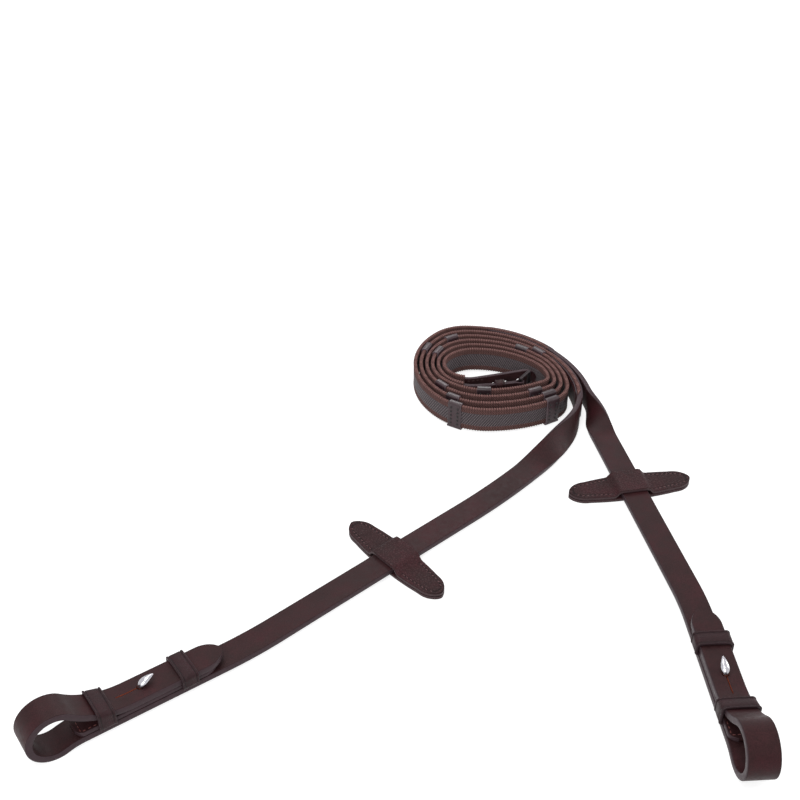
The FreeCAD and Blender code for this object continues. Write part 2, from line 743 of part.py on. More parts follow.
def make_buckle(rein):
    """The centre buckle on the right rein's chape: a frame with its bar, and a tongue."""
    x, y, heading = rein.route.at(rein.route.length)
    place = Placement(Vector(x, y, web_middle), Rotation(UP, math.degrees(heading) + BUCKLE_TURN))
    half = "(Sizes.frame_inner_height / 2 + Sizes.bar_radius)"
    bars = []
    for name, where in (("bar", "0"), ("far_bar", "Sizes.frame_reach")):
        bars.append(make_cylinder("buckle_" + name, "Sizes.bar_radius", "2 * " + half, where, "0", "-" + half))
    for name, level in (("top", half), ("bottom", "-" + half)):
        side = make_cylinder("buckle_" + name, "Sizes.bar_radius", "Sizes.frame_reach", "0", "0", level)
        side.Placement.Rotation = Rotation(Vector(0, 1, 0), 90)
        bars.append(side)
        for corner, where in (("near", "0"), ("far", "Sizes.frame_reach")):
            ball = bind(doc.addObject("Part::Sphere", "buckle_%s_%s" % (name, corner)),
                        Radius="Sizes.bar_radius", Placement__Base__x=where, Placement__Base__z=level)
            bars.append(ball)
    keep(make_fusion("buckle_ring", bars), "buckle_frame", place)

    clearance = "(Sizes.bar_radius + Sizes.tongue_play)"
    eye = make_cylinder("tongue_eye", clearance + " + Sizes.tongue_radius", "Sizes.tongue_seat",
                        "0", "0", "-Sizes.tongue_seat / 2")
    pin = make_cylinder("tongue_pin", "Sizes.tongue_radius",
                        "Sizes.frame_reach + Sizes.bar_radius", "0", "0", "0")
    pin.Placement.Rotation = Rotation(Vector(0, 1, 0), 90)
    bore = make_cylinder("tongue_bore", clearance, "Sizes.tongue_seat", "0", "0", "-Sizes.tongue_seat / 2")
    tongue = make_cut("tongue_cut", make_fusion("tongue_body", [eye, pin]), bore)
    rise = size("bar_radius") + size("tongue_radius") + size("tongue_play")
    lean = math.degrees(math.asin(rise / size("frame_reach")))
    keep(tongue, "buckle_tongue", place.multiply(Placement(Vector(0, 0, 0), Rotation(UP, -lean))))


def make_hand_keeper(rein):
    """The leather keeper on the chape, with room for the other rein's billet."""
    inner = size("chape_thick") / 2 + size("hand_keeper_room")
    wall, room = size("hand_keeper_wall"), size("hand_keeper_room")
    middle = rein.route.length - size("hand_keeper_back")
    line = rein.route.stretch(middle - size("hand_keeper_length") / 2, middle + size("hand_keeper_length") / 2)
    height = size("hand_height") + 2 * room
    outside = ribbon(line, inner + wall, -inner - wall, height + 2 * wall, web_middle - height / 2 - wall)
    inside = ribbon(line, inner, -inner, height, web_middle - height / 2)
    return keep_shape("right_hand_keeper", outside.cut(inside))


# ---------------------------------------------------------------- build and export

def build():
    """Make every sub-part."""
    for rein in reins:
        make_rein_strap(rein)
        make_splice_facing(rein)
        make_stud_strap(rein)
        make_keeper(rein, "tip_keeper", TIP_KEEPER_AT)
        make_keeper(rein, "eye_keeper", EYE_KEEPER_AT)
        make_hook_stud(rein)
        make_stud_rivet(rein)
        make_web(rein)
        make_hand_stops(rein)
    left, right = reins
    make_stop(left, distance_to(left_route, LEFT_BEND) - size("left_stop_at"))
    make_stop(right, distance_to(right_route, RIGHT_ENTRY) - size("right_stop_at"))
    make_hand_billet(left)
    make_chape(right)
    make_hand_keeper(right)
    make_buckle(right)


def export():
    """Check every object and write one STEP file for each sub-part."""
    doc.recompute()
    for obj in doc.Objects:
        if "Invalid" in obj.State or "Error" in obj.State:
            raise RuntimeError("%s did not build" % obj.Label)
    os.makedirs("parts", exist_ok=True)
    for obj in parts:
        if obj.Shape.isNull() or not obj.Shape.isValid() or len(obj.Shape.Solids) != 1:
            raise RuntimeError("%s is not one valid solid" % obj.Label)
        obj.Shape.exportStep("parts/%s.step" % obj.Label)
        box = obj.Shape.BoundBox
        print("%-24s %9.1f mm3  z %.2f to %.2f" % (obj.Label, obj.Shape.Volume, box.ZMin, box.ZMax))


build()
export()
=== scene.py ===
# %% [markdown]
# # A pair of bridle reins
#
# Two leather reins lie on a floor. Each begins in an eye for the bit, closed by a hook stud, carries a
# sliding rein stop, turns up on its edge and goes on as a webbing hand part. The two hand parts are
# wound together into an oval coil. The CAD model gives every place and every moving body, so this script
# only gives the pieces their finished shapes and their leather, webbing, thread and steel.

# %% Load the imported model
import math

import bmesh
import bpy
from mathutils import Matrix, Vector


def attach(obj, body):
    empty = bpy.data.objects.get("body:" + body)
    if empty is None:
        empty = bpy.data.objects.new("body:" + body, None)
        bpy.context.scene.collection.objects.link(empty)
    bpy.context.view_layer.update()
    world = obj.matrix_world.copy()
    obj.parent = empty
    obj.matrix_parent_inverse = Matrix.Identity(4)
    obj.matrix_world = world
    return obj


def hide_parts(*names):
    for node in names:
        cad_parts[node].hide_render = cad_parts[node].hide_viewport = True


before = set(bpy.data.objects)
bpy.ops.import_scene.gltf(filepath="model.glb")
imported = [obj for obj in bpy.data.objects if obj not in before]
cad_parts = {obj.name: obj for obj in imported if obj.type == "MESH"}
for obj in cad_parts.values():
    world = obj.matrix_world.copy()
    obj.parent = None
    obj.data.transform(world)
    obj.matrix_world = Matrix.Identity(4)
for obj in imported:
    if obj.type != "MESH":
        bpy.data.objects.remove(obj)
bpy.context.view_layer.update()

MM = 0.001
UP = Vector((0, 0, 1))

# %% [markdown]
# ## The camera and the light
#
# The reins are seen from about half a metre above the floor and in front of them, with a mild telephoto.
# A long lens keeps the near bit ends from growing too large against the coil. The
# camera comes first because every later choice, such as how fine a stitch must be, depends on it.

# %% Camera
camera_data = bpy.data.cameras.new("camera")
camera_data.sensor_width = 36
camera_data.lens = 54
camera = bpy.data.objects.new("camera", camera_data)
camera.location = (0.0026, -0.5314, 0.47567)
camera.rotation_euler = (math.radians(54), 0, 0)
camera_data.clip_start = 0.01
camera_data.clip_end = 20
bpy.context.scene.collection.objects.link(camera)
bpy.context.scene.camera = camera

# %% [markdown]
# Dark leather is hard to light: almost all that shows is reflection. A wide soft lamp in front lifts the
# cut edges that face the viewer, and one high at the back left gives the tops a dull sheen. A smaller one
# overhead draws a thin bright line along every rounded rim, a low one at the back makes the polished tops
# of the hand stops glint, and one at the right fills that side. The pale world fills the rest in.

# %% Lamps and world
def softbox(name, place, width, watts):
    """A square lamp that faces the middle of the floor."""
    data = bpy.data.lights.new(name, "AREA")
    data.size = width
    data.energy = watts
    lamp = bpy.data.objects.new(name, data)
    lamp.location = place
    lamp.rotation_euler = (-Vector(place)).to_track_quat("-Z", "Y").to_euler()
    bpy.context.scene.collection.objects.link(lamp)


softbox("front_box", (-0.5, -1.5, 1.1), 1.2, 16)
softbox("high_box", (-0.5, 0.5, 1.7), 0.9, 8)
softbox("rim_box", (-0.25, -0.55, 1.7), 0.45, 6)
softbox("back_box", (0.1, 1.5, 1.15), 0.4, 4)
softbox("side_box", (1.5, 0.35, 0.65), 0.8, 10)

world = bpy.data.worlds.new("studio")
bpy.context.scene.world = world
world.use_nodes = True
world.node_tree.nodes["Background"].inputs["Color"].default_value = (0.95, 0.95, 0.97, 1)
bpy.context.scene.view_settings.view_transform = "Standard"

# %% [markdown]
# ## Node helpers
#
# Materials are easier to read when a node, its settings and its links stand on one line. `node` makes one,
# and `feed` fills the inputs of one that is there already: a value that is a socket becomes a link,
# anything else a plain setting.

# %% Node helpers
def feed(made, **inputs):
    """Links or sets a node's inputs, named with underscores, or i0, i1 ... by position."""
    for name, value in inputs.items():
        by_place = name[0] == "i" and name[1:].isdigit()
        socket = made.inputs[int(name[1:]) if by_place else name.replace("_", " ")]
        if isinstance(value, bpy.types.NodeSocket):
            made.id_data.links.new(value, socket)
        else:
            socket.default_value = value
    return made


def node(tree, kind, settings=None, **inputs):
    """One shader node, with its settings and inputs."""
    made = tree.nodes.new("ShaderNode" + kind)
    for name, value in (settings or {}).items():
        setattr(made, name, value)
    return feed(made, **inputs)


def math_node(tree, operation, a, b=0.0, c=0.0, clamp=False):
    """The output of one Math node."""
    return node(tree, "Math", {"operation": operation, "use_clamp": clamp}, i0=a, i1=b, i2=c).outputs[0]


def rescale(tree, value, low=0.0, high=1.0, to_low=0.0, to_high=1.0, kind="LINEAR"):
    """Carries a number from one span to another and holds it at the ends."""
    return node(tree, "MapRange", {"interpolation_type": kind}, Value=value, From_Min=low, From_Max=high,
                To_Min=to_low, To_Max=to_high).outputs[0]


def scaled(tree, colour, share):
    """A colour times a number."""
    return node(tree, "VectorMath", {"operation": "SCALE"}, i0=colour, Scale=share).outputs[0]


def blend_colours(tree, share, a, b):
    """Colour a where the share is 0, colour b where it is 1."""
    a, b = (c if isinstance(c, bpy.types.NodeSocket) else (*c, 1) for c in (a, b))
    return node(tree, "Mix", {"data_type": "RGBA"}, i0=share, i6=a, i7=b).outputs[2]


def attribute(tree, name):
    """A number that the mesh carries."""
    return node(tree, "Attribute", {"attribute_name": name}).outputs["Fac"]


def object_place(tree):
    """The point on the piece, in metres."""
    return node(tree, "TexCoord").outputs["Object"]


def noise(tree, place, scale, **more):
    """Cloudy noise from 0 to 1."""
    return node(tree, "TexNoise", Vector=place, Scale=scale, **more).outputs["Fac"]


def new_group(name, inputs, outputs):
    """An empty shader node group with named float or colour sockets."""
    group = bpy.data.node_groups.new(name, "ShaderNodeTree")
    for title, kind, value in inputs:
        socket = group.interface.new_socket(title, in_out="INPUT", socket_type="NodeSocket" + kind)
        socket.default_value = value
    for title, kind in outputs:
        group.interface.new_socket(title, in_out="OUTPUT", socket_type="NodeSocket" + kind)
    return group, group.nodes.new("NodeGroupInput"), group.nodes.new("NodeGroupOutput")


def new_material(name):
    """A new material, its node tree and its Principled shader."""
    material = bpy.data.materials.new(name)
    material.use_nodes = True
    tree = material.node_tree
    return material, tree, tree.nodes["Principled BSDF"]


# %% White surroundings
WORLD_LIGHT, WHITE_TOP_UP = 0.42, 0.6


def seen_directly(tree):
    """1 for the rays that show a thing, on their own or in metal, and 0 for those that light it."""
    rays = node(tree, "LightPath").outputs
    seen = math_node(tree, "MAXIMUM", rays["Is Camera Ray"], rays["Is Glossy Ray"])
    return math_node(tree, "MAXIMUM", seen, rays["Is Transmission Ray"])


t = world.node_tree
world_strength = math_node(t, "MULTIPLY_ADD", seen_directly(t), WHITE_TOP_UP, WORLD_LIGHT)
feed(t.nodes["Background"], Strength=world_strength)

# %% [markdown]
# ## Leather
#
# Bridle leather is dyed through, waxed and polished. Close up it has three layers of detail: cloudy patches
# where the dye took more or less, fine pores, and for the embossed leather of the stops a pebbled grain.
# The cut edges are finished with edge paint and burnished, so they are smoother, and their colour is lighter
# and greyer than the face: partly their own tone, partly a painted sheen for the light they catch. Painted
# shade darkens the pebble grooves, the pressed creases and a line along each cut edge. All of this is one
# node group, which every leather piece places with its own numbers.

# %% Leather node group
leather_group, leather_in, leather_out = new_group(
    "leather_surface",
    [("Face", "Color", (0.05, 0.03, 0.03, 1)), ("Edge", "Color", (0.09, 0.07, 0.08, 1)),
     ("Pebble Size", "Float", 1.6), ("Pebble Depth", "Float", 0.2), ("Pore Depth", "Float", 0.3)],
    [("Color", "Color"), ("Roughness", "Float"), ("Height", "Float")])
given = leather_in.outputs
t = leather_group
place = object_place(t)
clouds = noise(t, place, 70, Detail=3)
streaks = noise(t, place, 420, Detail=4, Roughness=0.6)
pores = noise(t, place, 2100, Detail=2)
cells_across = math_node(t, "DIVIDE", 1000, given["Pebble Size"])
cells = node(t, "TexVoronoi", {"feature": "DISTANCE_TO_EDGE"}, Vector=place, Scale=cells_across)
pebbles = rescale(t, cells.outputs[0], high=0.28, kind="SMOOTHSTEP")
groove = math_node(t, "MULTIPLY", math_node(t, "SUBTRACT", 1, pebbles), given["Pebble Depth"])

# Colour: dye clouds, fine streaks and pores darken the face, and painted shade darkens the grooves between
# pebbles more.
fine_share = rescale(t, streaks, 0.3, 0.7, 0.88, 1.12)
shade = math_node(t, "MULTIPLY", rescale(t, clouds, 0.3, 0.7, 0.84, 1.14), fine_share)
shade = math_node(t, "MULTIPLY", shade, rescale(t, pores, 0.3, 0.7, 0.72, 1.28))
painted_groove_shade = math_node(t, "SUBTRACT", 1, math_node(t, "MULTIPLY", groove, 0.45))
shade = math_node(t, "MULTIPLY", shade, painted_groove_shade)
redder = node(t, "VectorMath", {"operation": "MULTIPLY"}, i0=given["Face"], i1=(1.12, 0.86, 0.95))
dyed = blend_colours(t, rescale(t, clouds, 0.42, 0.66), given["Face"], redder.outputs[0])
# Where the cut edge is, the Edge colour takes over: lighter than the face partly as its own tone, partly as a
# painted sheen.
cut_edge = attribute(t, "edge")
colour = blend_colours(t, rescale(t, cut_edge, 0.5, 0.85), scaled(t, dyed, shade),
                       scaled(t, given["Edge"], fine_share))

# Painted shade: a dark line along the cut edge and in the pressed creases, where shade would fall.
crease = math_node(t, "MULTIPLY", cut_edge, math_node(t, "SUBTRACT", 1, cut_edge))
pressed = math_node(t, "MULTIPLY", attribute(t, "crease"), 0.75)
crease = math_node(t, "MULTIPLY_ADD", crease, 2.6, pressed)
crease = math_node(t, "SUBTRACT", 1, crease, clamp=True)

rough = rescale(t, streaks, 0.3, 0.7, 0.38, 0.56)
rough = math_node(t, "ADD", rough, math_node(t, "MULTIPLY", groove, 0.2))
rough = math_node(t, "SUBTRACT", rough, math_node(t, "MULTIPLY", cut_edge, 0.05))
height = math_node(t, "MULTIPLY", pebbles, given["Pebble Depth"])
height = math_node(t, "ADD", height, math_node(t, "MULTIPLY", pores, given["Pore Depth"]))
height = math_node(t, "ADD", height, math_node(t, "MULTIPLY", streaks, 0.3))
feed(leather_out, Color=scaled(t, colour, crease), Roughness=rough, Height=height)


def leather(name, face, edge, pebble_size=1.6, pebble_depth=0.0, pore_depth=0.3, bump=0.12, shine=0.13):
    """One leather: colours of its face and its cut edge, and how coarse its grain is in millimetres."""
    material, tree, shader = new_material(name)
    grain = node(tree, "Group", {"node_tree": leather_group}, Face=(*face, 1), Edge=(*edge, 1),
                 Pebble_Size=pebble_size, Pebble_Depth=pebble_depth, Pore_Depth=pore_depth).outputs
    relief = node(tree, "Bump", Height=grain["Height"], Strength=bump, Distance=0.0006).outputs[0]
    feed(shader, Base_Color=grain["Color"], Roughness=grain["Roughness"], Normal=relief,
         Specular_IOR_Level=shine)
    return material


# Each edge colour is lighter and greyer than its face: partly the burnished edge's own tone, partly a painted
# sheen.
havana = leather("havana_leather", (0.0285, 0.0108, 0.0115), (0.049, 0.029, 0.034), pore_depth=0.5,
                 bump=0.2)
keeper_leather = leather("keeper_leather", (0.026, 0.0100, 0.0118), (0.034, 0.019, 0.022),
                         1.1, 0.3, 0.4, 0.3, 0.16)
stop_leather = leather("stop_leather", (0.040, 0.0170, 0.0180), (0.068, 0.041, 0.044), 1.5, 0.75, 0.3, 0.4)
# The hand stops' rims are coloured nearly four times as light as their face: a painted highlight for the
# glints along their edges.
band_leather = leather("band_leather", (0.031, 0.0150, 0.0185), (0.118, 0.080, 0.093),
                       1.2, 0.35, 0.3, 0.25, 0.35)
feed(band_leather.node_tree.nodes["Principled BSDF"], Coat_Weight=0.25, Coat_Roughness=0.12)
raw_leather = leather("raw_cut_leather", (0.30, 0.085, 0.045), (0.30, 0.085, 0.045), bump=0.4)

# %% [markdown]
# ## Webbing
#
# The hand part is a cotton web with rubber threads woven into its middle for grip. Two brown selvedges run
# along its edges, with the fine ribs of the weft across them, and between them the rubber makes a charcoal
# field of small knots. The pattern follows the web round every turn, so it is drawn on two numbers that the
# mesh carries: `along`, the distance along the web, and `across`, the height on it.

# %% Webbing material
RIB = THREAD = 1.7 * MM
TWILL = 1.4 * MM
RUBBER_TO, SELVEDGE_FROM = 4.5 * MM, 4.9 * MM


def ripple(tree, value, pitch, phase=0.0):
    """A wave from 0 to 1 that repeats at a pitch."""
    turn = math_node(tree, "MULTIPLY_ADD", value, 2 * math.pi / pitch, phase)
    return math_node(tree, "MULTIPLY_ADD", math_node(tree, "SINE", turn), 0.5, 0.5)


webbing, t, shader = new_material("grip_webbing")
along, across = attribute(t, "along"), attribute(t, "across")
weft = ripple(t, math_node(t, "MULTIPLY_ADD", across, 0.35, along), THREAD)
twill = ripple(t, math_node(t, "MULTIPLY_ADD", across, 0.8, along), TWILL)
knots = math_node(t, "ABSOLUTE", math_node(t, "SUBTRACT", weft, ripple(t, across, THREAD)))
fuzz = noise(t, object_place(t), 1500, Detail=3)
wobble = math_node(t, "MULTIPLY", math_node(t, "SUBTRACT", weft, 0.5), 0.35 * MM)
height_on_web = math_node(t, "ADD", math_node(t, "ABSOLUTE", across), wobble)
selvedge = rescale(t, height_on_web, RUBBER_TO, SELVEDGE_FROM, kind="SMOOTHSTEP")
# Painted shade and highlight: the cotton is darker between the ribs and lighter on their crests, in step with
# the selvedge's swelling in the mesh, most on the rounded rim.
on_rim = math_node(t, "MULTIPLY_ADD", attribute(t, "edge"), 0.4, 0.2)
rib_painted_shade = math_node(t, "MULTIPLY", ripple(t, along, RIB, math.pi / 2), on_rim)
cotton = blend_colours(t, math_node(t, "MULTIPLY_ADD", twill, 0.5, rib_painted_shade),
                       (0.042, 0.018, 0.016), (0.215, 0.108, 0.098))
rubber = blend_colours(t, math_node(t, "POWER", knots, 1.4), (0.016, 0.012, 0.014), (0.22, 0.175, 0.185))
colour = scaled(t, blend_colours(t, selvedge, rubber, cotton), rescale(t, fuzz, 0.3, 0.7, 0.75, 1.25))
relief = node(t, "Mix", i0=selvedge, i2=knots, i3=twill).outputs[0]
relief = math_node(t, "ADD", relief, math_node(t, "MULTIPLY", fuzz, 0.5))
weave = node(t, "Bump", Height=relief, Strength=0.55, Distance=0.0005).outputs[0]
feed(shader, Base_Color=colour, Roughness=rescale(t, selvedge, to_low=0.62, to_high=0.85), Normal=weave,
     Specular_IOR_Level=0.25)

# %% [markdown]
# ## Thread and steel
#
# The saddler's thread is waxed linen, so each stitch has a twist of strands and a slight shine. The hook
# studs are polished steel with the faint scratches that wear leaves. The buckle's steel is rougher and
# painted very dark, as painted shade for the shadowed middle of the coil where it sits.

# %% Thread and steel materials
def thread(name, dark, light):
    """Waxed twisted thread."""
    material, tree, shader = new_material(name)
    strands = node(tree, "TexWave", Vector=object_place(tree), Scale=1300, Distortion=2.0).outputs["Fac"]
    twist = node(tree, "Bump", Height=strands, Strength=0.4, Distance=0.0002).outputs[0]
    feed(shader, Base_Color=blend_colours(tree, strands, dark, light), Normal=twist,
         Roughness=rescale(tree, strands, to_low=0.5, to_high=0.7))
    return material


def metal(name, scale, dark, light, smooth, rough, scratch_depth=0.0):
    """Steel between two colours and two roughnesses, where fine scratches cross it."""
    material, tree, shader = new_material(name)
    scratches = noise(tree, object_place(tree), scale, Detail=6, Roughness=0.7)
    feed(shader, Base_Color=blend_colours(tree, scratches, dark, light), Metallic=1.0,
         Roughness=rescale(tree, scratches, to_low=smooth, to_high=rough))
    if scratch_depth:
        relief = node(tree, "Bump", Height=scratches, Strength=scratch_depth, Distance=0.0002)
        feed(shader, Normal=relief.outputs[0])
    return material


thread_brown = thread("brown_thread", (0.018, 0.006, 0.007), (0.06, 0.02, 0.02))
# Partly painted shade: this near-black thread also stands for the dark of the hand stops' stitch holes.
hole_shade_thread = thread("black_thread_and_hole_shade", (0.003, 0.002, 0.002), (0.010, 0.006, 0.007))
thread_plum = thread("plum_thread", (0.060, 0.022, 0.024), (0.150, 0.062, 0.066))
thread_red = thread("red_brown_thread", (0.10, 0.022, 0.02), (0.2, 0.06, 0.05))
steel = metal("polished_steel", 900, (0.42, 0.41, 0.44), (0.60, 0.59, 0.62), 0.1, 0.28, 0.015)
# Painted shade: the buckle is steel coloured almost black, standing for steel in the shade of the coil's
# middle.
buckle_steel_in_shade = metal("buckle_steel_painted_dark", 700, (0.022, 0.017, 0.018), (0.060, 0.050, 0.053), 0.4, 0.65)
print("materials:", len(bpy.data.materials))

# %% [markdown]
# ## The line of each rein
#
# A rein bends easily one way only, so its line in plan is made of straight runs and arcs that meet without a
# corner, as a strip of leather lies. Each pair of stations below is joined by two such pieces; the fourth
# number of a station is the heading where the two meet. These are the same places as in the CAD model.

# %% Pieces of line
def along_piece(piece, distance):
    """The point and heading at a distance along one straight run or arc."""
    x, y, heading, _, curvature = piece
    if curvature == 0:
        return x + distance * math.cos(heading), y + distance * math.sin(heading), heading
    turned = heading + curvature * distance
    x += (math.sin(turned) - math.sin(heading)) / curvature
    y -= (math.cos(turned) - math.cos(heading)) / curvature
    return x, y, turned


def along_line(pieces, distance):
    """The point and heading at a distance along a whole line; it runs on straight past its end."""
    for piece in pieces:
        if distance <= piece[3] or piece is pieces[-1]:
            return along_piece(piece, distance)
        distance -= piece[3]


def join(start, end, middle):
    """Two pieces from start to end, each (x, y, heading), that meet at the middle heading."""
    spans = ((start[2], middle), (middle, end[2]))
    steps = []
    for a, b in spans:
        straight = abs(b - a) < 1e-9
        steps.append((math.cos(a), math.sin(a)) if straight else
                     (math.sin(b) - math.sin(a), math.cos(a) - math.cos(b)))
    (ax, ay), (bx, by) = steps
    dx, dy = end[0] - start[0], end[1] - start[1]
    det = ax * by - bx * ay
    amounts = ((dx * by - bx * dy) / det, (ax * dy - dx * ay) / det)
    pieces = []
    here = start
    for (a, b), amount in zip(spans, amounts):
        straight = abs(b - a) < 1e-9
        piece = (*here, amount, 0.0) if straight else (*here, amount * (b - a), 1.0 / amount)
        pieces.append(piece)
        here = along_piece(piece, piece[3])
    return pieces


ORIGIN = (2.6, 123.3)


def in_metres(station):
    """A station's place in the CAD frame."""
    return (station[0] + ORIGIN[0]) * MM, (station[1] + ORIGIN[1]) * MM


def line_through(stations):
    """A line through stations in millimetres and degrees, as pieces in metres and radians."""
    pieces = []
    for a, b in zip(stations, stations[1:]):
        middle = (a[2] + b[2]) / 2 if b[3] is None else b[3]
        start, end = (*in_metres(a), math.radians(a[2])), (*in_metres(b), math.radians(b[2]))
        pieces += join(start, end, math.radians(middle))
    return pieces


# %% The two lines
COIL = {
    "left": (10.4, 17.0, 270, 3.9, 0.0),
    "front": (57.0, -35.4, 360, 0.0, 7.3),
    "right": (118.6, -11.0, 90, -4.0, 2.5),
    "back": (46.0, 63.4, 180, 1.0, -5.7),
}


def on_coil(side, band, turns=0):
    """Where a band, counted from outside, passes one side of the coil."""
    x, y, angle, step_x, step_y = COIL[side]
    meet = 30 + 360 * turns if side == "right" else None
    return (x + band * step_x, y + band * step_y, angle + 360 * turns, meet)


LEFT_ENTRY = (117.0, -6.0, 97.0, 53.0)
RIGHT_ENTRY = (123.0, -6.0, 101.0, 101.0)
left_line = line_through([
    (-91.5, -232.5, 34.8, None), (38.5, -120.0, 41.5, 41.5), LEFT_ENTRY,
    on_coil("back", 1), on_coil("left", 1), on_coil("front", 1),
    on_coil("right", 3, 1), on_coil("back", 3, 1), on_coil("left", 3, 1), on_coil("front", 3, 1),
    on_coil("right", 5, 2), on_coil("back", 5, 2), on_coil("left", 5, 2),
    (50.0, 2.2, 1094, None), (92.0, 13.6, 1096, None)])
right_line = line_through([
    (160.0, -205.0, 93.5, None), RIGHT_ENTRY,
    on_coil("back", 0), on_coil("left", 0), on_coil("front", 0),
    on_coil("right", 2, 1), on_coil("back", 2, 1), on_coil("left", 2, 1), on_coil("front", 2, 1),
    on_coil("right", 4, 2), on_coil("back", 4, 2), on_coil("left", 4, 2),
    (50.0, -6.6, 1085, None), (80.0, -1.8, 1094, None)])


def distance_to(pieces, station):
    """The distance along a line to the joint nearest a station."""
    x, y = in_metres(station)
    best, run = None, 0.0
    for piece in pieces:
        gap = math.hypot(piece[0] - x, piece[1] - y)
        if best is None or gap < best[0]:
            best = (gap, run)
        run += piece[3]
    return best[1]


def length_of(pieces):
    """The length of a whole line."""
    return sum(piece[3] for piece in pieces)


left_entry = distance_to(left_line, LEFT_ENTRY)
right_entry = distance_to(right_line, RIGHT_ENTRY)
LEFT = {
    "side": "left", "line": left_line, "lean": 1, "end": length_of(left_line),
    "twist_from": left_entry - 92 * MM, "twist_to": left_entry - 14 * MM,
    "web_from": left_entry - 8 * MM,
    "first_band": distance_to(left_line, on_coil("left", 1)) - 20 * MM,
    "web_to": distance_to(left_line, on_coil("left", 5)) + 22 * MM,
    "stop_at": distance_to(left_line, (38.5, -120.0)) - 55 * MM,
}
RIGHT = {
    "side": "right", "line": right_line, "lean": -1, "end": length_of(right_line),
    "twist_from": right_entry - 42 * MM, "twist_to": right_entry - 6 * MM,
    "web_from": right_entry + 52 * MM,
    "first_band": distance_to(right_line, on_coil("front", 0)) - 22 * MM,
    "web_to": distance_to(right_line, on_coil("left", 4)) + 30 * MM,
    "stop_at": right_entry - 89 * MM,
}
REINS = (LEFT, RIGHT)
for rein in REINS:
    print(rein["side"], "rein: %.0f mm from billet tip to hand end" % (rein["end"] / MM))

# %% [markdown]
# ## Strips
#
# Nearly every piece here is a strip of even width and thickness: straps, webbing, keepers, bands. So each
# is cut straight first, as a saddler cuts it: a small rounded section is extruded to the length and divided
# into short steps. Then `lay` carries each step to its place on a line. Before that, the mesh notes how far
# along and across each point is, and which points are on the cut edge, for the materials to read.

# %% Cut a straight strip
CREASE_HALF, CREASE_DEPTH, BEAD_RISE = 0.45 * MM, 0.35 * MM, 0.22 * MM


def cut_plane(bm, point, direction):
    """Cuts every face that a plane crosses, and leaves the mesh whole."""
    bmesh.ops.bisect_plane(bm, geom=bm.verts[:] + bm.edges[:] + bm.faces[:], dist=1e-7, plane_co=point,
                           plane_no=direction)


def draw_out(bm, faces, step):
    """Extrudes faces by a vector and returns the new faces and points."""
    grown = bmesh.ops.extrude_face_region(bm, geom=faces)["geom"]
    points = [g for g in grown if isinstance(g, bmesh.types.BMVert)]
    bmesh.ops.translate(bm, verts=points, vec=step)
    return [g for g in grown if isinstance(g, bmesh.types.BMFace)], points


def straight_strip(start, end, width, thick, corner, step, creases=()):
    """A strip along X: width on Y, thickness on Z, long edges rounded, with optional pressed creases."""
    bm = bmesh.new()
    for name in ("along", "across", "edge", "crease"):
        bm.verts.layers.float.new(name)
    bmesh.ops.create_grid(bm, x_segments=1, y_segments=1, size=0.5)
    bmesh.ops.scale(bm, vec=(width, thick, 1), verts=bm.verts)
    bmesh.ops.bevel(bm, geom=bm.verts[:], offset=corner, segments=3, profile=0.5, affect="VERTICES",
                    material=-1)
    cuts = [width / 2 - corner * 1.6]
    for crease in creases:
        cuts += [crease - CREASE_HALF, crease, crease + CREASE_HALF]
    for cut in cuts:
        for side in (-1, 1):
            cut_plane(bm, (side * cut, 0, 0), (1, 0, 0))
    for crease in creases:
        pressed = [v for v in bm.verts if abs(abs(v.co.x) - crease) < 1e-6 and v.co.y > 0]
        bmesh.ops.translate(bm, verts=pressed, vec=(0, -CREASE_DEPTH, 0))
        bead = [v for v in bm.verts if abs(v.co.x) > crease + 0.1 * MM and v.co.y > 0]
        bmesh.ops.translate(bm, verts=bead, vec=(0, BEAD_RISE, 0))
        # The pressed line is marked as a crease, which the leather material darkens as painted shade.
        for v in pressed:
            v[bm.verts.layers.float["crease"]] = 1.0
    stand = Matrix(((0, 0, 1, start), (1, 0, 0, 0), (0, 1, 0, 0), (0, 0, 0, 1)))
    bmesh.ops.transform(bm, matrix=stand, verts=bm.verts)
    draw_out(bm, bm.faces[:], (end - start, 0, 0))
    lengthwise = [e for e in bm.edges if abs(e.verts[0].co.x - e.verts[1].co.x) > (end - start) / 2]
    bmesh.ops.subdivide_edges(bm, edges=lengthwise, cuts=max(1, round((end - start) / step) - 1),
                              use_grid_fill=True)
    mark_strip(bm, width, corner)
    return bm


def mark_strip(bm, width, corner):
    """Writes the distance along, the distance across and the cut edge into the mesh."""
    along, across, edge = (bm.verts.layers.float[name] for name in ("along", "across", "edge"))
    for v in bm.verts:
        v[along], v[across] = v.co.x, v.co.y
        v[edge] = 1.0 if abs(v.co.y) > width / 2 - corner * 0.55 else 0.0


def more_steps(bm, places, width, corner):
    """Extra rings across a strip, where its outline curves."""
    for x in places:
        cut_plane(bm, (x, 0, 0), (1, 0, 0))
    mark_strip(bm, width, corner)


def lay(bm, place):
    """Carries each step of a straight strip to its place: place(x) is the frame at that distance."""
    frames = {}
    for v in bm.verts:
        key = round(v.co.x, 7)
        if key not in frames:
            frames[key] = place(v.co.x)
        v.co = frames[key] @ Vector((0, v.co.y, v.co.z))


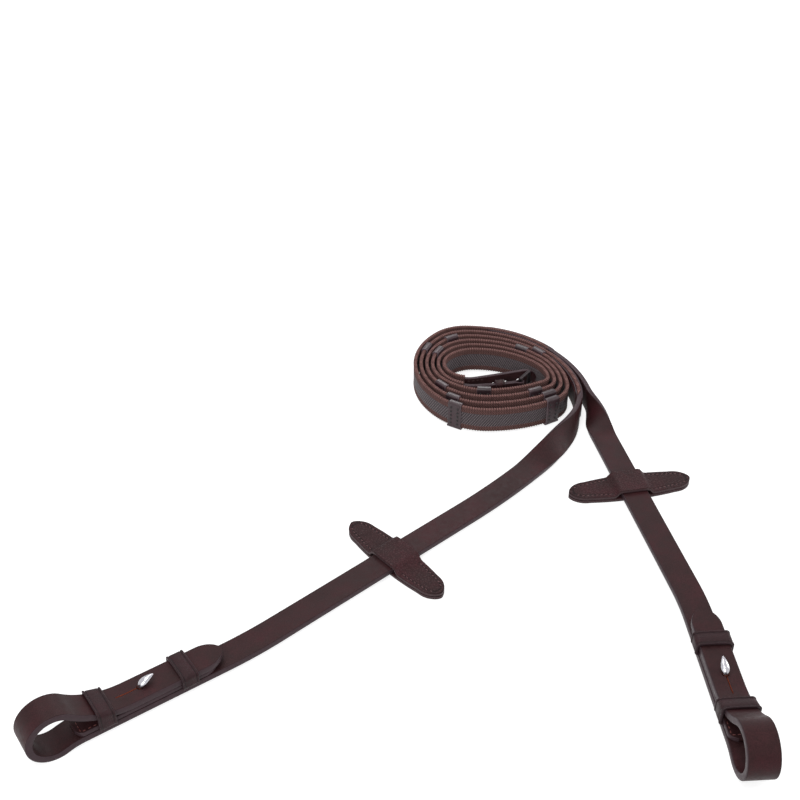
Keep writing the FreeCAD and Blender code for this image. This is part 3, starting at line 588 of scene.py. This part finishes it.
def make_piece(name, bm, materials, nodes=(), body="reins"):
    """Turns a finished bmesh into a named piece that rides on a body and stands for CAD nodes."""
    # A thin ring or curved strip can come out of this inside out, which its signed volume shows.
    bmesh.ops.recalc_face_normals(bm, faces=bm.faces)
    if bm.calc_volume(signed=True) < 0:
        bmesh.ops.reverse_faces(bm, faces=bm.faces)
    for face in bm.faces:
        face.smooth = True
    mesh = bpy.data.meshes.new(name)
    bm.to_mesh(mesh)
    bm.free()
    piece = bpy.data.objects.new(name, mesh)
    bpy.context.scene.collection.objects.link(piece)
    for material in materials:
        mesh.materials.append(material)
    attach(piece, body)
    if nodes:
        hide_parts(*nodes)
    print("%-26s %6d faces" % (name, len(mesh.polygons)))
    return piece


# %% Frames along a rein
WEB_LEVEL = 10 * MM


def shift(x=0.0, y=0.0, z=0.0):
    """A move, as a frame."""
    return Matrix.Translation((x, y, z))


def stretch(x=1.0, y=1.0, z=1.0):
    """A stretch along the axes."""
    return Matrix.Diagonal((x, y, z, 1))


def frame_of(forward, sideways, through, spot):
    """A 4x4 frame from three directions and a point."""
    m = Matrix((forward, sideways, through)).transposed().to_4x4()
    m.translation = spot
    return m


def on_rein(rein, distance, roll=math.pi / 2, level=WEB_LEVEL, aside=0.0):
    """The frame at a distance along a rein. Roll 0 lies flat; a quarter turn stands on edge."""
    x, y, heading = along_line(rein["line"], distance)
    forward = Vector((math.cos(heading), math.sin(heading), 0))
    left = Vector((-math.sin(heading), math.cos(heading), 0))
    sideways = left * math.cos(roll) + UP * math.sin(roll)
    through = UP * math.cos(roll) - left * math.sin(roll)
    return frame_of(forward, sideways, through, Vector((x, y, level)) + left * aside)


def ease(share):
    """0 to 1 with a soft start and end."""
    share = min(max(share, 0.0), 1.0)
    return share * share * (3 - 2 * share)


# %% [markdown]
# ## The rein straps
#
# Each rein is one strap from end to end. It starts at the billet's pointed tip, runs back over the hook
# stud, round the eye, and on along the floor, where it turns up on edge to meet the webbing. There it is
# split in two thin plies that hold the web between them. The side line of the eye is drawn like the rein's
# line, with tangent arcs, but in the upright plane.

# %% The side line of the bit end
STRAP_WIDTH, STRAP_THICK = 16 * MM, 3.2 * MM
FLOOR_LAYER, STUD_LAYER, BILLET_LAYER = 2.5 * MM, 5.7 * MM, 8.7 * MM
EYE_REACH, EYE_RADIUS, HEEL, THROAT = 106 * MM, 14.25 * MM, 25 * MM, 45 * MM
BILLET_RAISE = 0.35 * MM
SPLICE, SPLICE_HEEL, PLY, WEB_THICK = 45 * MM, 6 * MM, 1.2 * MM, 2.4 * MM


def eye_side_line():
    """The pieces from under the billet's tip, round the eye, to where the billet runs back straight."""
    low, high = FLOOR_LAYER + STRAP_THICK / 2, BILLET_LAYER + STRAP_THICK / 2 + BILLET_RAISE
    radius = EYE_RADIUS - STRAP_THICK / 2
    centre_x = EYE_REACH - EYE_RADIUS
    heel_turn = math.acos((EYE_RADIUS - low + HEEL) / (radius + HEEL))
    heel_x = centre_x - (radius + HEEL) * math.sin(heel_turn)
    throat_turn = math.asin((high + THROAT - EYE_RADIUS) / (radius + THROAT))
    pieces = [(0.0, low, 0.0, heel_x, 0.0)]
    for length, curvature in ((HEEL * heel_turn, -1 / HEEL),
                              (radius * (heel_turn + math.pi * 1.5 - throat_turn), 1 / radius),
                              (THROAT * (math.pi / 2 - throat_turn), -1 / THROAT)):
        here = along_piece(pieces[-1], pieces[-1][3])
        pieces.append((*here, length, curvature))
    billet = along_piece(pieces[-1], pieces[-1][3])
    pieces.append((*billet, billet[0], 0.0))
    return pieces


side_line = eye_side_line()
SIDE_LENGTH = length_of(side_line)
print("from billet tip round the eye: %.0f mm" % (SIDE_LENGTH / MM))


def bit_end_frame(rein):
    """The bit end's own frame: X from the billet's tip to the eye, Y across, Z up."""
    x, y, heading = rein["line"][0][:3]
    return shift(x, y) @ Matrix.Rotation(heading + math.pi, 4, "Z")


def point_width(distance, length):
    """How wide an ogival point is, as a share, at a distance from its tip."""
    share = min(max(distance / length, 0.012), 1.0)
    return (1 - (1 - share) ** 2) ** 0.6


# %% Lay the straps
FULLER, FULLER_OVER = 1.14, 60 * MM
LIFT_FROM, LIFT_OVER = 80 * MM, 10 * MM
STRAP_CORNER, SKIVE = 0.55 * MM, 4 * MM
TIP_STEPS = [t * MM for t in (0.15, 0.4, 0.8, 1.4, 2.1, 3.0, 4.0)]


def on_bit_end(distance):
    """The frame of a strap on its bit end: fuller, with a pointed tip, and resting on the floor."""
    x, z, turn = along_line(side_line, distance)
    m = frame_of(Vector((-math.cos(turn), 0, -math.sin(turn))), Vector((0, -1, 0)),
                 Vector((-math.sin(turn), 0, math.cos(turn))), Vector((x, 0, z)))
    lift = STRAP_THICK / 2 * (FULLER - 1) * (1 + math.cos(turn)) / 2 * ease((x - LIFT_FROM) / LIFT_OVER)
    width = point_width(SIDE_LENGTH - distance, 11 * MM)
    return m, lift, stretch(1, width, FULLER)


def strap_place(rein):
    """The frame of a strap at any distance; distances below 0 are on the bit end."""
    bit_end = bit_end_frame(rein)
    heel, web = rein["web_from"] - SPLICE_HEEL, rein["web_from"]
    twist = rein["twist_to"] - rein["twist_from"]
    spread = WEB_THICK / 2 + PLY - STRAP_THICK / 2

    def place(distance):
        if distance < 0:
            m, lift, size = on_bit_end(-distance)
            return shift(0, 0, lift) @ (bit_end @ m) @ size
        share = ease((distance - rein["twist_from"]) / twist)
        level = FLOOR_LAYER + STRAP_THICK / 2
        level += (WEB_LEVEL - level) * share
        outer = -STRAP_THICK / 2 - spread * ease((distance - heel + SKIVE) / SKIVE)
        inner = STRAP_THICK / 2
        inner -= (STRAP_THICK / 2 + WEB_THICK / 2) * min(max((distance - heel) / SPLICE_HEEL, 0.0), 1.0)
        thick = (inner - outer) / STRAP_THICK
        skived = 0.45 + 0.55 * ease((web + SPLICE - distance) / SKIVE)
        thick *= skived * (FULLER - (FULLER - 1) * ease(distance / FULLER_OVER))
        roll = rein["lean"] * math.pi / 2 * share
        return on_rein(rein, distance, roll, level, (inner + outer) / 2) @ stretch(z=thick)
    return place


straps = {}
for rein in REINS:
    side = rein["side"]
    start, end = -SIDE_LENGTH, rein["web_from"] + SPLICE
    bm = straight_strip(start, end, STRAP_WIDTH, STRAP_THICK, STRAP_CORNER, 1.3 * MM)
    extra = [start + t for t in TIP_STEPS] + [end - t for t in TIP_STEPS[:3]]
    more_steps(bm, extra, STRAP_WIDTH, STRAP_CORNER)
    lay(bm, strap_place(rein))
    straps[side] = make_piece(side + "_rein_leather", bm, [havana, raw_leather], [side + "_rein_strap"])

# %% [markdown]
# The billet has a round hole for the stud, with a slit beside it that lets the hook through. A saddler
# punches both after the strap is cut, and so does this: a cutter shape is subtracted from the finished
# strap. The cutter brings its own material, so the cut shows the undyed, reddish inside of the leather.

# %% Punch the billet's hole and slit
def punch(piece, cutter_bm, material):
    """Subtracts a shape from a piece; the new walls take the given material."""
    mesh = bpy.data.meshes.new("cutter")
    cutter_bm.to_mesh(mesh)
    cutter_bm.free()
    cutter = bpy.data.objects.new("cutter", mesh)
    bpy.context.scene.collection.objects.link(cutter)
    mesh.materials.append(material)
    cut = piece.modifiers.new("punch", "BOOLEAN")
    cut.object = cutter
    cut.operation = "DIFFERENCE"
    cut.solver = "EXACT"
    cut.use_self = True
    cut.material_mode = "TRANSFER"
    graph = bpy.context.evaluated_depsgraph_get()
    punched = bpy.data.meshes.new_from_object(piece.evaluated_get(graph))
    piece.modifiers.clear()
    punched.set_sharp_from_angle(angle=math.radians(40))
    piece.data = punched
    bpy.data.objects.remove(cutter)


def add_peg(bm, place, radius, length, segments):
    """A round peg along Z."""
    bmesh.ops.create_cone(bm, cap_ends=True, segments=segments, radius1=radius, radius2=radius,
                          depth=length, matrix=place)


STUD_AT, HOLE_LEVEL = 45 * MM, BILLET_LAYER + 1.6 * MM
for rein in REINS:
    bm = bmesh.new()
    add_peg(bm, shift(STUD_AT, 0, HOLE_LEVEL), 1.9 * MM, 6 * MM, 24)
    slit = shift(STUD_AT + 7 * MM, 0, HOLE_LEVEL) @ stretch(12 * MM, 0.7 * MM, 6 * MM)
    bmesh.ops.create_cube(bm, size=1, matrix=slit)
    bmesh.ops.transform(bm, matrix=bit_end_frame(rein), verts=bm.verts)
    punch(straps[rein["side"]], bm, raw_leather)

# %% [markdown]
# ## The stud strap and the splice facing
#
# Between the billet and the strap lies a third layer, the stud strap, into which the hook stud is riveted.
# It is pointed like the billet, and rounded at the eye, where a row of stitches holds it down. The splice
# facing is the thin inner ply on the web's end.

# %% Stud straps
STUD_FROM, STUD_TO = 3.5 * MM, 81.5 * MM
STUD_WIDTH, STUD_THICK, STUD_CORNER = 15.3 * MM, 2.7 * MM, 0.6 * MM


def stud_strap_place(distance):
    """The frame of a stud strap on the bit end."""
    width = point_width(distance - STUD_FROM, 9 * MM) * point_width(STUD_TO - distance + 0.5 * MM, 4 * MM)
    return shift(distance, 0, STUD_LAYER + 1.6 * MM) @ stretch(y=width)


for rein in REINS:
    side = rein["side"]
    bm = straight_strip(STUD_FROM, STUD_TO, STUD_WIDTH, STUD_THICK, STUD_CORNER, 1.5 * MM)
    extra = [STUD_FROM + t for t in TIP_STEPS] + [STUD_TO - t for t in TIP_STEPS]
    more_steps(bm, extra, STUD_WIDTH, STUD_CORNER)
    lay(bm, stud_strap_place)
    bmesh.ops.transform(bm, matrix=bit_end_frame(rein), verts=bm.verts)
    make_piece(side + "_stud_strap_leather", bm, [havana], [side + "_stud_strap"])

# %% Splice facings
for rein in REINS:
    side = rein["side"]
    start, end = rein["web_from"] - SPLICE_HEEL, rein["web_from"] + SPLICE
    bm = straight_strip(start, end, STRAP_WIDTH, PLY, 0.4 * MM, 1.3 * MM)

    def facing_place(distance, rein=rein, start=start, end=end):
        thick = 0.35 + 0.65 * ease((distance - start) / (5 * MM)) * ease((end - distance) / (4 * MM))
        aside = WEB_THICK / 2 + PLY / 2 * thick
        return on_rein(rein, distance, aside=aside) @ stretch(z=thick)

    lay(bm, facing_place)
    make_piece(side + "_facing_leather", bm, [havana], [side + "_splice_facing"])

# %% [markdown]
# ## The webbing
#
# The weft threads turn back at each edge of the web and leave it ribbed like a cord. Those ribs show on the
# coil's upper edge more than anything else, so they are in the mesh: steps of a quarter rib, with the
# selvedge swelling and shrinking a few tenths of a millimetre. The weave on the sides stays in the material.

# %% Lay the webs
WEB_HEIGHT, WEB_CORNER = 18 * MM, 0.8 * MM
RIM_CUT, RIM_FROM, RIM_TOP = 6.6 * MM, 7 * MM, 8 * MM
for rein in REINS:
    side = rein["side"]
    start, end = rein["web_from"] - 5 * MM, rein["web_to"]
    bm = straight_strip(start, end, WEB_HEIGHT, WEB_THICK, WEB_CORNER, RIB / 4)
    for height in (-RIM_CUT, RIM_CUT):
        cut_plane(bm, (0, height, 0), (0, 1, 0))
    mark_strip(bm, WEB_HEIGHT, WEB_CORNER)
    for v in bm.verts:
        swell = math.cos(v.co.x / RIB * 2 * math.pi)
        v.co.z *= 1 + 0.14 * swell - 0.10 if abs(v.co.y) > RIM_FROM else 0.94
        if abs(v.co.y) > RIM_TOP:
            v.co.y += math.copysign(0.2 * MM, v.co.y) * (swell - 1)

    def web_place(distance, rein=rein):
        fill = min(max((distance - rein["web_from"] + SPLICE_HEEL) / SPLICE_HEEL, 0.06), 1.0)
        return on_rein(rein, distance, aside=WEB_THICK / 2 * (1 - fill)) @ stretch(z=fill)

    lay(bm, web_place)
    make_piece(side + "_webbing", bm, [webbing], [side + "_grip_web"])

# %% [markdown]
# ## Closed loops
#
# A keeper or a hand stop is a strip bent round and sewn shut. Its line is a rounded rectangle made of the
# same straight runs and arcs, and the strip's two ends are merged where they meet.

# %% Close a strip into a loop
def rounded_rectangle(half_width, half_height, radius):
    """A closed line round a rounded rectangle, starting in the middle of its lower side."""
    corner = math.pi / 2 * radius
    pieces = [(0.0, -half_height, 0.0, half_width - radius, 0.0)]
    for length in (half_height, half_width, half_height, half_width):
        here = along_piece(pieces[-1], pieces[-1][3])
        pieces.append((*here, corner, 1 / radius))
        here = along_piece(pieces[-1], pieces[-1][3])
        pieces.append((*here, 2 * (length - radius), 0.0))
    x, y, heading, length, _ = pieces[-1]
    pieces[-1] = (x, y, heading, length / 2, 0.0)
    return pieces


def closed_band(width, thick, corner, half_width, half_height, radius, creases=()):
    """A loop of strip: X along the strap that it is on, Y across it and Z up. Its outside is creased."""
    line = rounded_rectangle(half_width, half_height, radius)
    length = length_of(line)
    bm = straight_strip(0, length, width, thick, corner, 0.45 * MM, creases)
    bmesh.ops.delete(bm, geom=[f for f in bm.faces if all(v.co.x < 1e-7 for v in f.verts)
                               or all(v.co.x > length - 1e-7 for v in f.verts)], context="FACES")

    def place(distance):
        y, z, turn = along_line(line, distance)
        forward = Vector((0, math.cos(turn), math.sin(turn)))
        outwards = Vector((0, math.sin(turn), -math.cos(turn)))
        return frame_of(forward, outwards.cross(forward), outwards, Vector((0, y, z)))

    lay(bm, place)
    bmesh.ops.remove_doubles(bm, verts=bm.verts, dist=0.02 * MM)
    return bm


# %% Keepers
THROAT_FROM = side_line[-1][0]
KEEPER_LEVEL = 9.9 * MM


def billet_rise(x):
    """How much higher the billet lies at a place on the bit end, where it rises to the eye."""
    return max(x - THROAT_FROM, 0.0) ** 2 / (2 * THROAT)


for rein in REINS:
    for name, centre in (("_tip_keeper", 22 * MM), ("_eye_keeper", 66.5 * MM)):
        name = rein["side"] + name
        bm = closed_band(9 * MM, 1.5 * MM, 0.5 * MM, 9.05 * MM, 3.45 * MM, 1.3 * MM, creases=(3.2 * MM,))
        bmesh.ops.translate(bm, verts=bm.verts, vec=(centre, 0, KEEPER_LEVEL))
        for v in bm.verts:
            if v.co.z > KEEPER_LEVEL:
                v.co.z += billet_rise(v.co.x) + 0.3 * MM * (1 - (v.co.y / (9 * MM)) ** 2)
        bmesh.ops.transform(bm, matrix=bit_end_frame(rein), verts=bm.verts)
        make_piece(name + "_leather", bm, [keeper_leather], [name])

# %% Hand stops
HAND_STOPS, HAND_STOP_PITCH = 6, 65.4 * MM


def lay_round_web(bm, rein, middle, flare=0.0):
    """Carries a loop to a place on a rein's upright web; its foot may stand out a little."""
    for v in bm.verts:
        wider = 1 + flare * ease((-7 * MM - v.co.z) / (3 * MM))
        v.co = on_rein(rein, middle + v.co.x * wider) @ Vector((0, v.co.z, v.co.y * wider))


for rein in REINS:
    for number in range(HAND_STOPS):
        bm = closed_band(9 * MM, 0.96 * MM, 0.3 * MM, 1.7 * MM, 9.5 * MM, 0.9 * MM)
        lay_round_web(bm, rein, rein["first_band"] + number * HAND_STOP_PITCH, 0.14)
        name = "%s_hand_stop_%d" % (rein["side"], number + 1)
        make_piece(name + "_leather", bm, [band_leather], [name])

# %% [markdown]
# ## Rein stops
#
# A stop is two leaves of pebbled leather sewn together in their wings, with the strap passing between them.
# Each leaf is a flat grid whose rows are drawn in to the leaf's outline. The upper leaf is then lifted over
# the strap, and both get their thickness and a softened rim.

# %% Leaves of the stops
STOP_LENGTH, STOP_WAIST, STOP_END, END_AT = 77 * MM, 18.8 * MM, 15.2 * MM, 27 * MM
STOP_THICK, SEAM_INSET, WING_FROM = 2.2 * MM, 2.5 * MM, 12.6 * MM


def leaf_half_width(y):
    """Half the width of a stop, at a distance from its middle."""
    y = abs(y)
    if y < END_AT:
        share = y / END_AT
        return STOP_WAIST / 2 + (STOP_END - STOP_WAIST) / 2 * share + 2.4 * MM * share * (1 - share)
    share = min((y - END_AT) / (STOP_LENGTH / 2 - END_AT), 1.0)
    return max(STOP_END / 2 * (1 - share ** 2.2) ** 0.62, 0.25 * MM)


def hump(y):
    """How far the upper leaf is lifted to clear the strap."""
    return 3.65 * MM * ease((WING_FROM - abs(y)) / (4.2 * MM))


def leaf(thick, lifted):
    """One ply of a stop in its own frame: X along the strap, Y along the leaf, Z up from its underside."""
    bm = bmesh.new()
    bmesh.ops.create_grid(bm, x_segments=28, y_segments=90, size=0.5)
    crease = bm.verts.layers.float.new("crease")
    for v in bm.verts:
        y = STOP_LENGTH / 2 * math.sin(math.pi * v.co.y)
        v.co = Vector((v.co.x * 2 * leaf_half_width(y), y, 0))
        if lifted and abs(y) > WING_FROM:
            inset = min(leaf_half_width(y) - abs(v.co.x), (STOP_LENGTH / 2 - abs(y)) * 0.9)
            # The seam line is marked as a crease: pressed in on the top ply, and darkened by the leather
            # material as painted shade.
            v[crease] = math.exp(-((inset - SEAM_INSET) / (0.55 * MM)) ** 2)
    bmesh.ops.recalc_face_normals(bm, faces=bm.faces)
    bmesh.ops.solidify(bm, geom=bm.faces[:], thickness=-thick)
    low = min(v.co.z for v in bm.verts)
    bmesh.ops.translate(bm, verts=bm.verts, vec=(0, 0, -low))
    bmesh.ops.recalc_face_normals(bm, faces=bm.faces)
    sides = [f for f in bm.faces if abs(f.normal.z) < 0.5]
    rim = set(e for f in sides for e in f.edges if abs(e.verts[0].co.z - e.verts[1].co.z) < 1e-6)
    bmesh.ops.bevel(bm, geom=list(rim), offset=0.42 * MM, segments=3, profile=0.5, affect="EDGES",
                    material=-1)
    edge = bm.verts.layers.float.new("edge")
    for v in bm.verts:
        v[edge] = 1.0 if 0.15 * thick < v.co.z < 0.85 * thick else 0.0
        if lifted:
            pressed = v[crease] if v.co.z > 0.5 * thick else 0.0
            v.co.z += hump(v.co.y) - 0.22 * MM * pressed
    return bm


def stop_frame(rein):
    """The frame of a stop where it lies on its strap."""
    x, y, heading = along_line(rein["line"], rein["stop_at"])
    return shift(x, y) @ Matrix.Rotation(heading, 4, "Z")


for rein in REINS:
    side = rein["side"]
    for ply, bottom in (("bottom", 0.0), ("top", STOP_THICK)):
        bm = leaf(STOP_THICK, ply == "top")
        bmesh.ops.translate(bm, verts=bm.verts, vec=(0, 0, bottom))
        bmesh.ops.transform(bm, matrix=stop_frame(rein), verts=bm.verts)
        make_piece("%s_stop_%s_leather" % (side, ply), bm, [stop_leather],
                   ["%s_stop_%s_ply" % (side, ply)], body=side + "_stop")

# %% [markdown]
# ## Hand ends and buckle
#
# The left rein ends in a pointed billet with holes, the right one in a chape: a strap folded round the
# buckle's bar and sewn to itself, with a keeper for the billet's tip. The buckle is open, and its steel frame
# and tongue come from the CAD model as they are.

# %% Hand billet
HAND_WIDTH, HAND_THICK, HAND_CORNER = 14 * MM, 2.4 * MM, 0.45 * MM
start, end = LEFT["web_to"], LEFT["end"]
bm = straight_strip(start, end, HAND_WIDTH, HAND_THICK, HAND_CORNER, 1.3 * MM)
more_steps(bm, [end - t for t in TIP_STEPS], HAND_WIDTH, HAND_CORNER)
lay(bm, lambda d: on_rein(LEFT, d) @ stretch(y=point_width(LEFT["end"] - d, 9 * MM)))
hand_billet = make_piece("left_hand_billet_leather", bm, [havana, keeper_leather], ["left_hand_billet"])
bm = bmesh.new()
for number in range(1, 4):
    add_peg(bm, on_rein(LEFT, LEFT["end"] - 4 * MM - number * 9 * MM), 1.4 * MM, 8 * MM, 20)
punch(hand_billet, bm, keeper_leather)

# %% Chape, folded round the bar
FOLD, CHAPE_PLY = 1.92 * MM, 1.3 * MM
run = RIGHT["end"] - RIGHT["web_to"]
around = math.pi * FOLD
bm = straight_strip(-around / 2 - run, around / 2 + run, HAND_WIDTH, CHAPE_PLY, 0.35 * MM, 0.9 * MM)


def chape_place(distance):
    """The frame of the chape: half a turn round the bar, then one ply on each side."""
    side = 1 if distance > 0 else -1
    past = abs(distance) - around / 2
    if past < 0:
        bar = on_rein(RIGHT, RIGHT["end"]) @ Matrix.Rotation(distance / FOLD, 4, "Y")
        return bar @ shift(FOLD) @ Matrix.Rotation(math.pi / 2, 4, "Y")
    close = (FOLD - CHAPE_PLY / 2 - 0.04 * MM) * ease(past / (3.5 * MM))
    m = on_rein(RIGHT, RIGHT["end"] - past, aside=side * (FOLD - close))
    return m if side < 0 else m @ Matrix.Rotation(math.pi, 4, "Y")


lay(bm, chape_place)
chape = make_piece("right_chape_leather", bm, [havana, keeper_leather], ["right_chape"])
bm = bmesh.new()
tongue_slot = on_rein(RIGHT, RIGHT["end"] + 2 * MM) @ stretch(8 * MM, 3.8 * MM, 9 * MM)
bmesh.ops.create_cube(bm, size=1, matrix=tongue_slot)
punch(chape, bm, keeper_leather)

# %% Keeper of the chape
bm = closed_band(6 * MM, 1.2 * MM, 0.3 * MM, 2.4 * MM, 8.0 * MM, 0.9 * MM, creases=(2.0 * MM,))
lay_round_web(bm, RIGHT, RIGHT["end"] - 14 * MM)
make_piece("right_hand_keeper_leather", bm, [havana], ["right_hand_keeper"])

# %% [markdown]
# ## Hook studs
#
# The stud's post comes up through the billet's hole and bends over into a hook that points to the billet's
# tip. It is drawn from one disc: extruded up, and then drawn out in short steps, each turned a little
# further over and made wider or narrower, which gives the drop shape of a forged hook.

# %% Hook studs
POST_FROM, POST_TO = 6.6 * MM, 12.2 * MM
# Each step of the hook: how far on, how many degrees further over, how much wider and how much taller.
HOOK_STEPS = ((0.9, 20, 1.22, 1.12), (1.0, 18, 1.20, 1.08), (1.1, 14, 1.08, 1.00), (1.3, 9, 0.93, 0.92),
              (1.4, 5, 0.84, 0.86), (1.3, 3, 0.76, 0.80), (1.1, 1, 0.68, 0.74), (0.9, 0, 0.55, 0.60),
              (0.4, 0, 0.35, 0.45))


for rein in REINS:
    side = rein["side"]
    bm = bmesh.new()
    bmesh.ops.create_circle(bm, cap_ends=True, segments=20, radius=1.5 * MM,
                            matrix=shift(STUD_AT, 0, POST_FROM))
    last, ring = draw_out(bm, bm.faces[:], (0, 0, POST_TO - POST_FROM))
    centre, lean = Vector((STUD_AT, 0, POST_TO)), 0.0
    for length, turn, wide, tall in HOOK_STEPS:
        lean += math.radians(turn)
        ahead = Vector((-math.sin(lean), 0, math.cos(lean)))
        grown, ring = draw_out(bm, last, ahead * length * MM)
        bmesh.ops.delete(bm, geom=last, context="FACES_ONLY")
        last = grown
        centre = centre + ahead * length * MM
        bend = Matrix.Rotation(-math.radians(turn), 3, "Y")
        bmesh.ops.rotate(bm, cent=centre, matrix=bend, verts=ring)
        local = frame_of(ahead, Vector((0, 1, 0)), ahead.cross(Vector((0, 1, 0))), centre)
        bmesh.ops.scale(bm, vec=(1, wide, tall), space=local.inverted(), verts=ring)
    bmesh.ops.transform(bm, matrix=bit_end_frame(rein), verts=bm.verts)
    hook = make_piece(side + "_hook", bm, [steel], [side + "_hook_stud"])
    rounding = hook.modifiers.new("rounding", "SUBSURF")
    rounding.levels = rounding.render_levels = 2

for name in ("left_stud_rivet", "right_stud_rivet", "buckle_frame", "buckle_tongue"):
    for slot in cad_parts[name].material_slots:
        # The buckle takes the steel painted dark as shade; the rivets keep the polished steel.
        slot.material = buckle_steel_in_shade if "buckle" in name else steel

# %% [markdown]
# ## Stitches
#
# A stitch is a small grain of waxed thread that dips into the leather at both ends. Hundreds of them are
# needed, so one is only a few dozen faces. They are set by frames: X along the seam, Z out of the leather.

# %% One stitch, many times
TURN_SEAM = Matrix.Rotation(math.pi / 2, 4, "Z")
FLIP = Matrix.Rotation(math.pi, 4, "X")


def add_stitch(bm, place, length=2.0 * MM, width=0.62 * MM, sunk=0.12 * MM):
    """One stitch at a frame, X along it and Z outwards."""
    grain = shift(0, 0, -sunk) @ stretch(length / 2, width / 2, width / 2)
    bmesh.ops.create_uvsphere(bm, u_segments=6, v_segments=5, radius=1, matrix=place @ grain)


def stitch_both_faces(bm, rein, distance, row, half_thick, seam=Matrix(), **size):
    """The same stitch on both faces of an upright strip, at a height on it."""
    for face_side in (-1, 1):
        place = on_rein(rein, distance, aside=face_side * half_thick) @ shift(0, row, 0) @ seam
        add_stitch(bm, place @ FLIP if face_side > 0 else place, **size)


# %% Seams of the stops
for rein in REINS:
    side = rein["side"]
    bm = bmesh.new()
    for wing in (-1, 1):
        for edge_side in (-1, 1):
            for number in range(8):
                across_leaf = wing * (14.5 + number * 2.75) * MM
                inset = edge_side * (leaf_half_width(across_leaf) - SEAM_INSET)
                place = stop_frame(rein) @ shift(inset, across_leaf, 4.25 * MM + hump(across_leaf))
                lean = Matrix.Rotation(-edge_side * wing * 0.09, 4, "Z")
                add_stitch(bm, place @ TURN_SEAM @ lean)
    make_piece(side + "_stop_stitching", bm, [thread_plum], body=side + "_stop")

# %% Seams of the hand stops
for rein in REINS:
    side = rein["side"]
    bm = bmesh.new()
    # These stitches are wide, nearly round and near black: partly thread, partly painted shade of the stitch
    # holes.
    for number in range(HAND_STOPS):
        middle = rein["first_band"] + number * HAND_STOP_PITCH
        for column in (-2.3 * MM, 2.3 * MM):
            for row in range(5):
                stitch_both_faces(bm, rein, middle + column, (row - 2) * 3.0 * MM, 2.17 * MM, TURN_SEAM,
                                  length=1.6 * MM, width=1.5 * MM, sunk=0.15 * MM)
    make_piece(side + "_hand_stop_stitching", bm, [hole_shade_thread])

# %% Seams of the splices and the stud straps
for rein in REINS:
    side = rein["side"]
    bm = bmesh.new()
    for row in (-6.2 * MM, 6.2 * MM):
        for number in range(15):
            distance = rein["web_from"] + (2 + number * 2.9) * MM
            stitch_both_faces(bm, rein, distance, row, WEB_THICK / 2 + PLY)
    bit_end = bit_end_frame(rein)
    top = STUD_LAYER + 2.95 * MM
    for number in range(5):
        add_stitch(bm, bit_end @ shift(79.2 * MM, (number - 2) * 2.5 * MM, top) @ TURN_SEAM)
    for row in (-6.2 * MM, 6.2 * MM):
        for number in range(3):
            add_stitch(bm, bit_end @ shift((72 + number * 2.7) * MM, row, top))
    make_piece(side + "_strap_stitching", bm, [thread_red])

# %% Seams of the hand ends
bm = bmesh.new()
for rein, thick in ((LEFT, HAND_THICK), (RIGHT, 2.8 * MM)):
    for row in (-5.2 * MM, 5.2 * MM):
        for number in range(4):
            distance = rein["web_to"] + (2.5 + number * 2.9) * MM
            stitch_both_faces(bm, rein, distance, row, thick / 2)
make_piece("hand_end_stitching", bm, [thread_brown])

# %% [markdown]
# ## The floor
#
# A plain white floor. It keeps the soft contact shadows that seat the object, but most of its light is its
# own, so that it stays white without more lamps, which would bleach the leather.

# %% Floor
FLOOR_GLOW, FLOOR_SIZE, FLOOR_LEVEL = 0.74, 40, -0.02 * MM
floor_material, t, shader = new_material("white_floor")
feed(shader, Base_Color=(0.5, 0.5, 0.5, 1), Roughness=0.9, Specular_IOR_Level=0.0)
glow = node(t, "Emission", Strength=math_node(t, "MULTIPLY", seen_directly(t), FLOOR_GLOW))
both = node(t, "AddShader", i0=shader.outputs[0], i1=glow.outputs[0])
feed(t.nodes["Material Output"], Surface=both.outputs[0])
bm = bmesh.new()
bmesh.ops.create_grid(bm, x_segments=1, y_segments=1, size=FLOOR_SIZE, matrix=shift(z=FLOOR_LEVEL))
mesh = bpy.data.meshes.new("floor")
bm.to_mesh(mesh)
bm.free()
floor = bpy.data.objects.new("floor", mesh)
floor.data.materials.append(floor_material)
bpy.context.scene.collection.objects.link(floor)
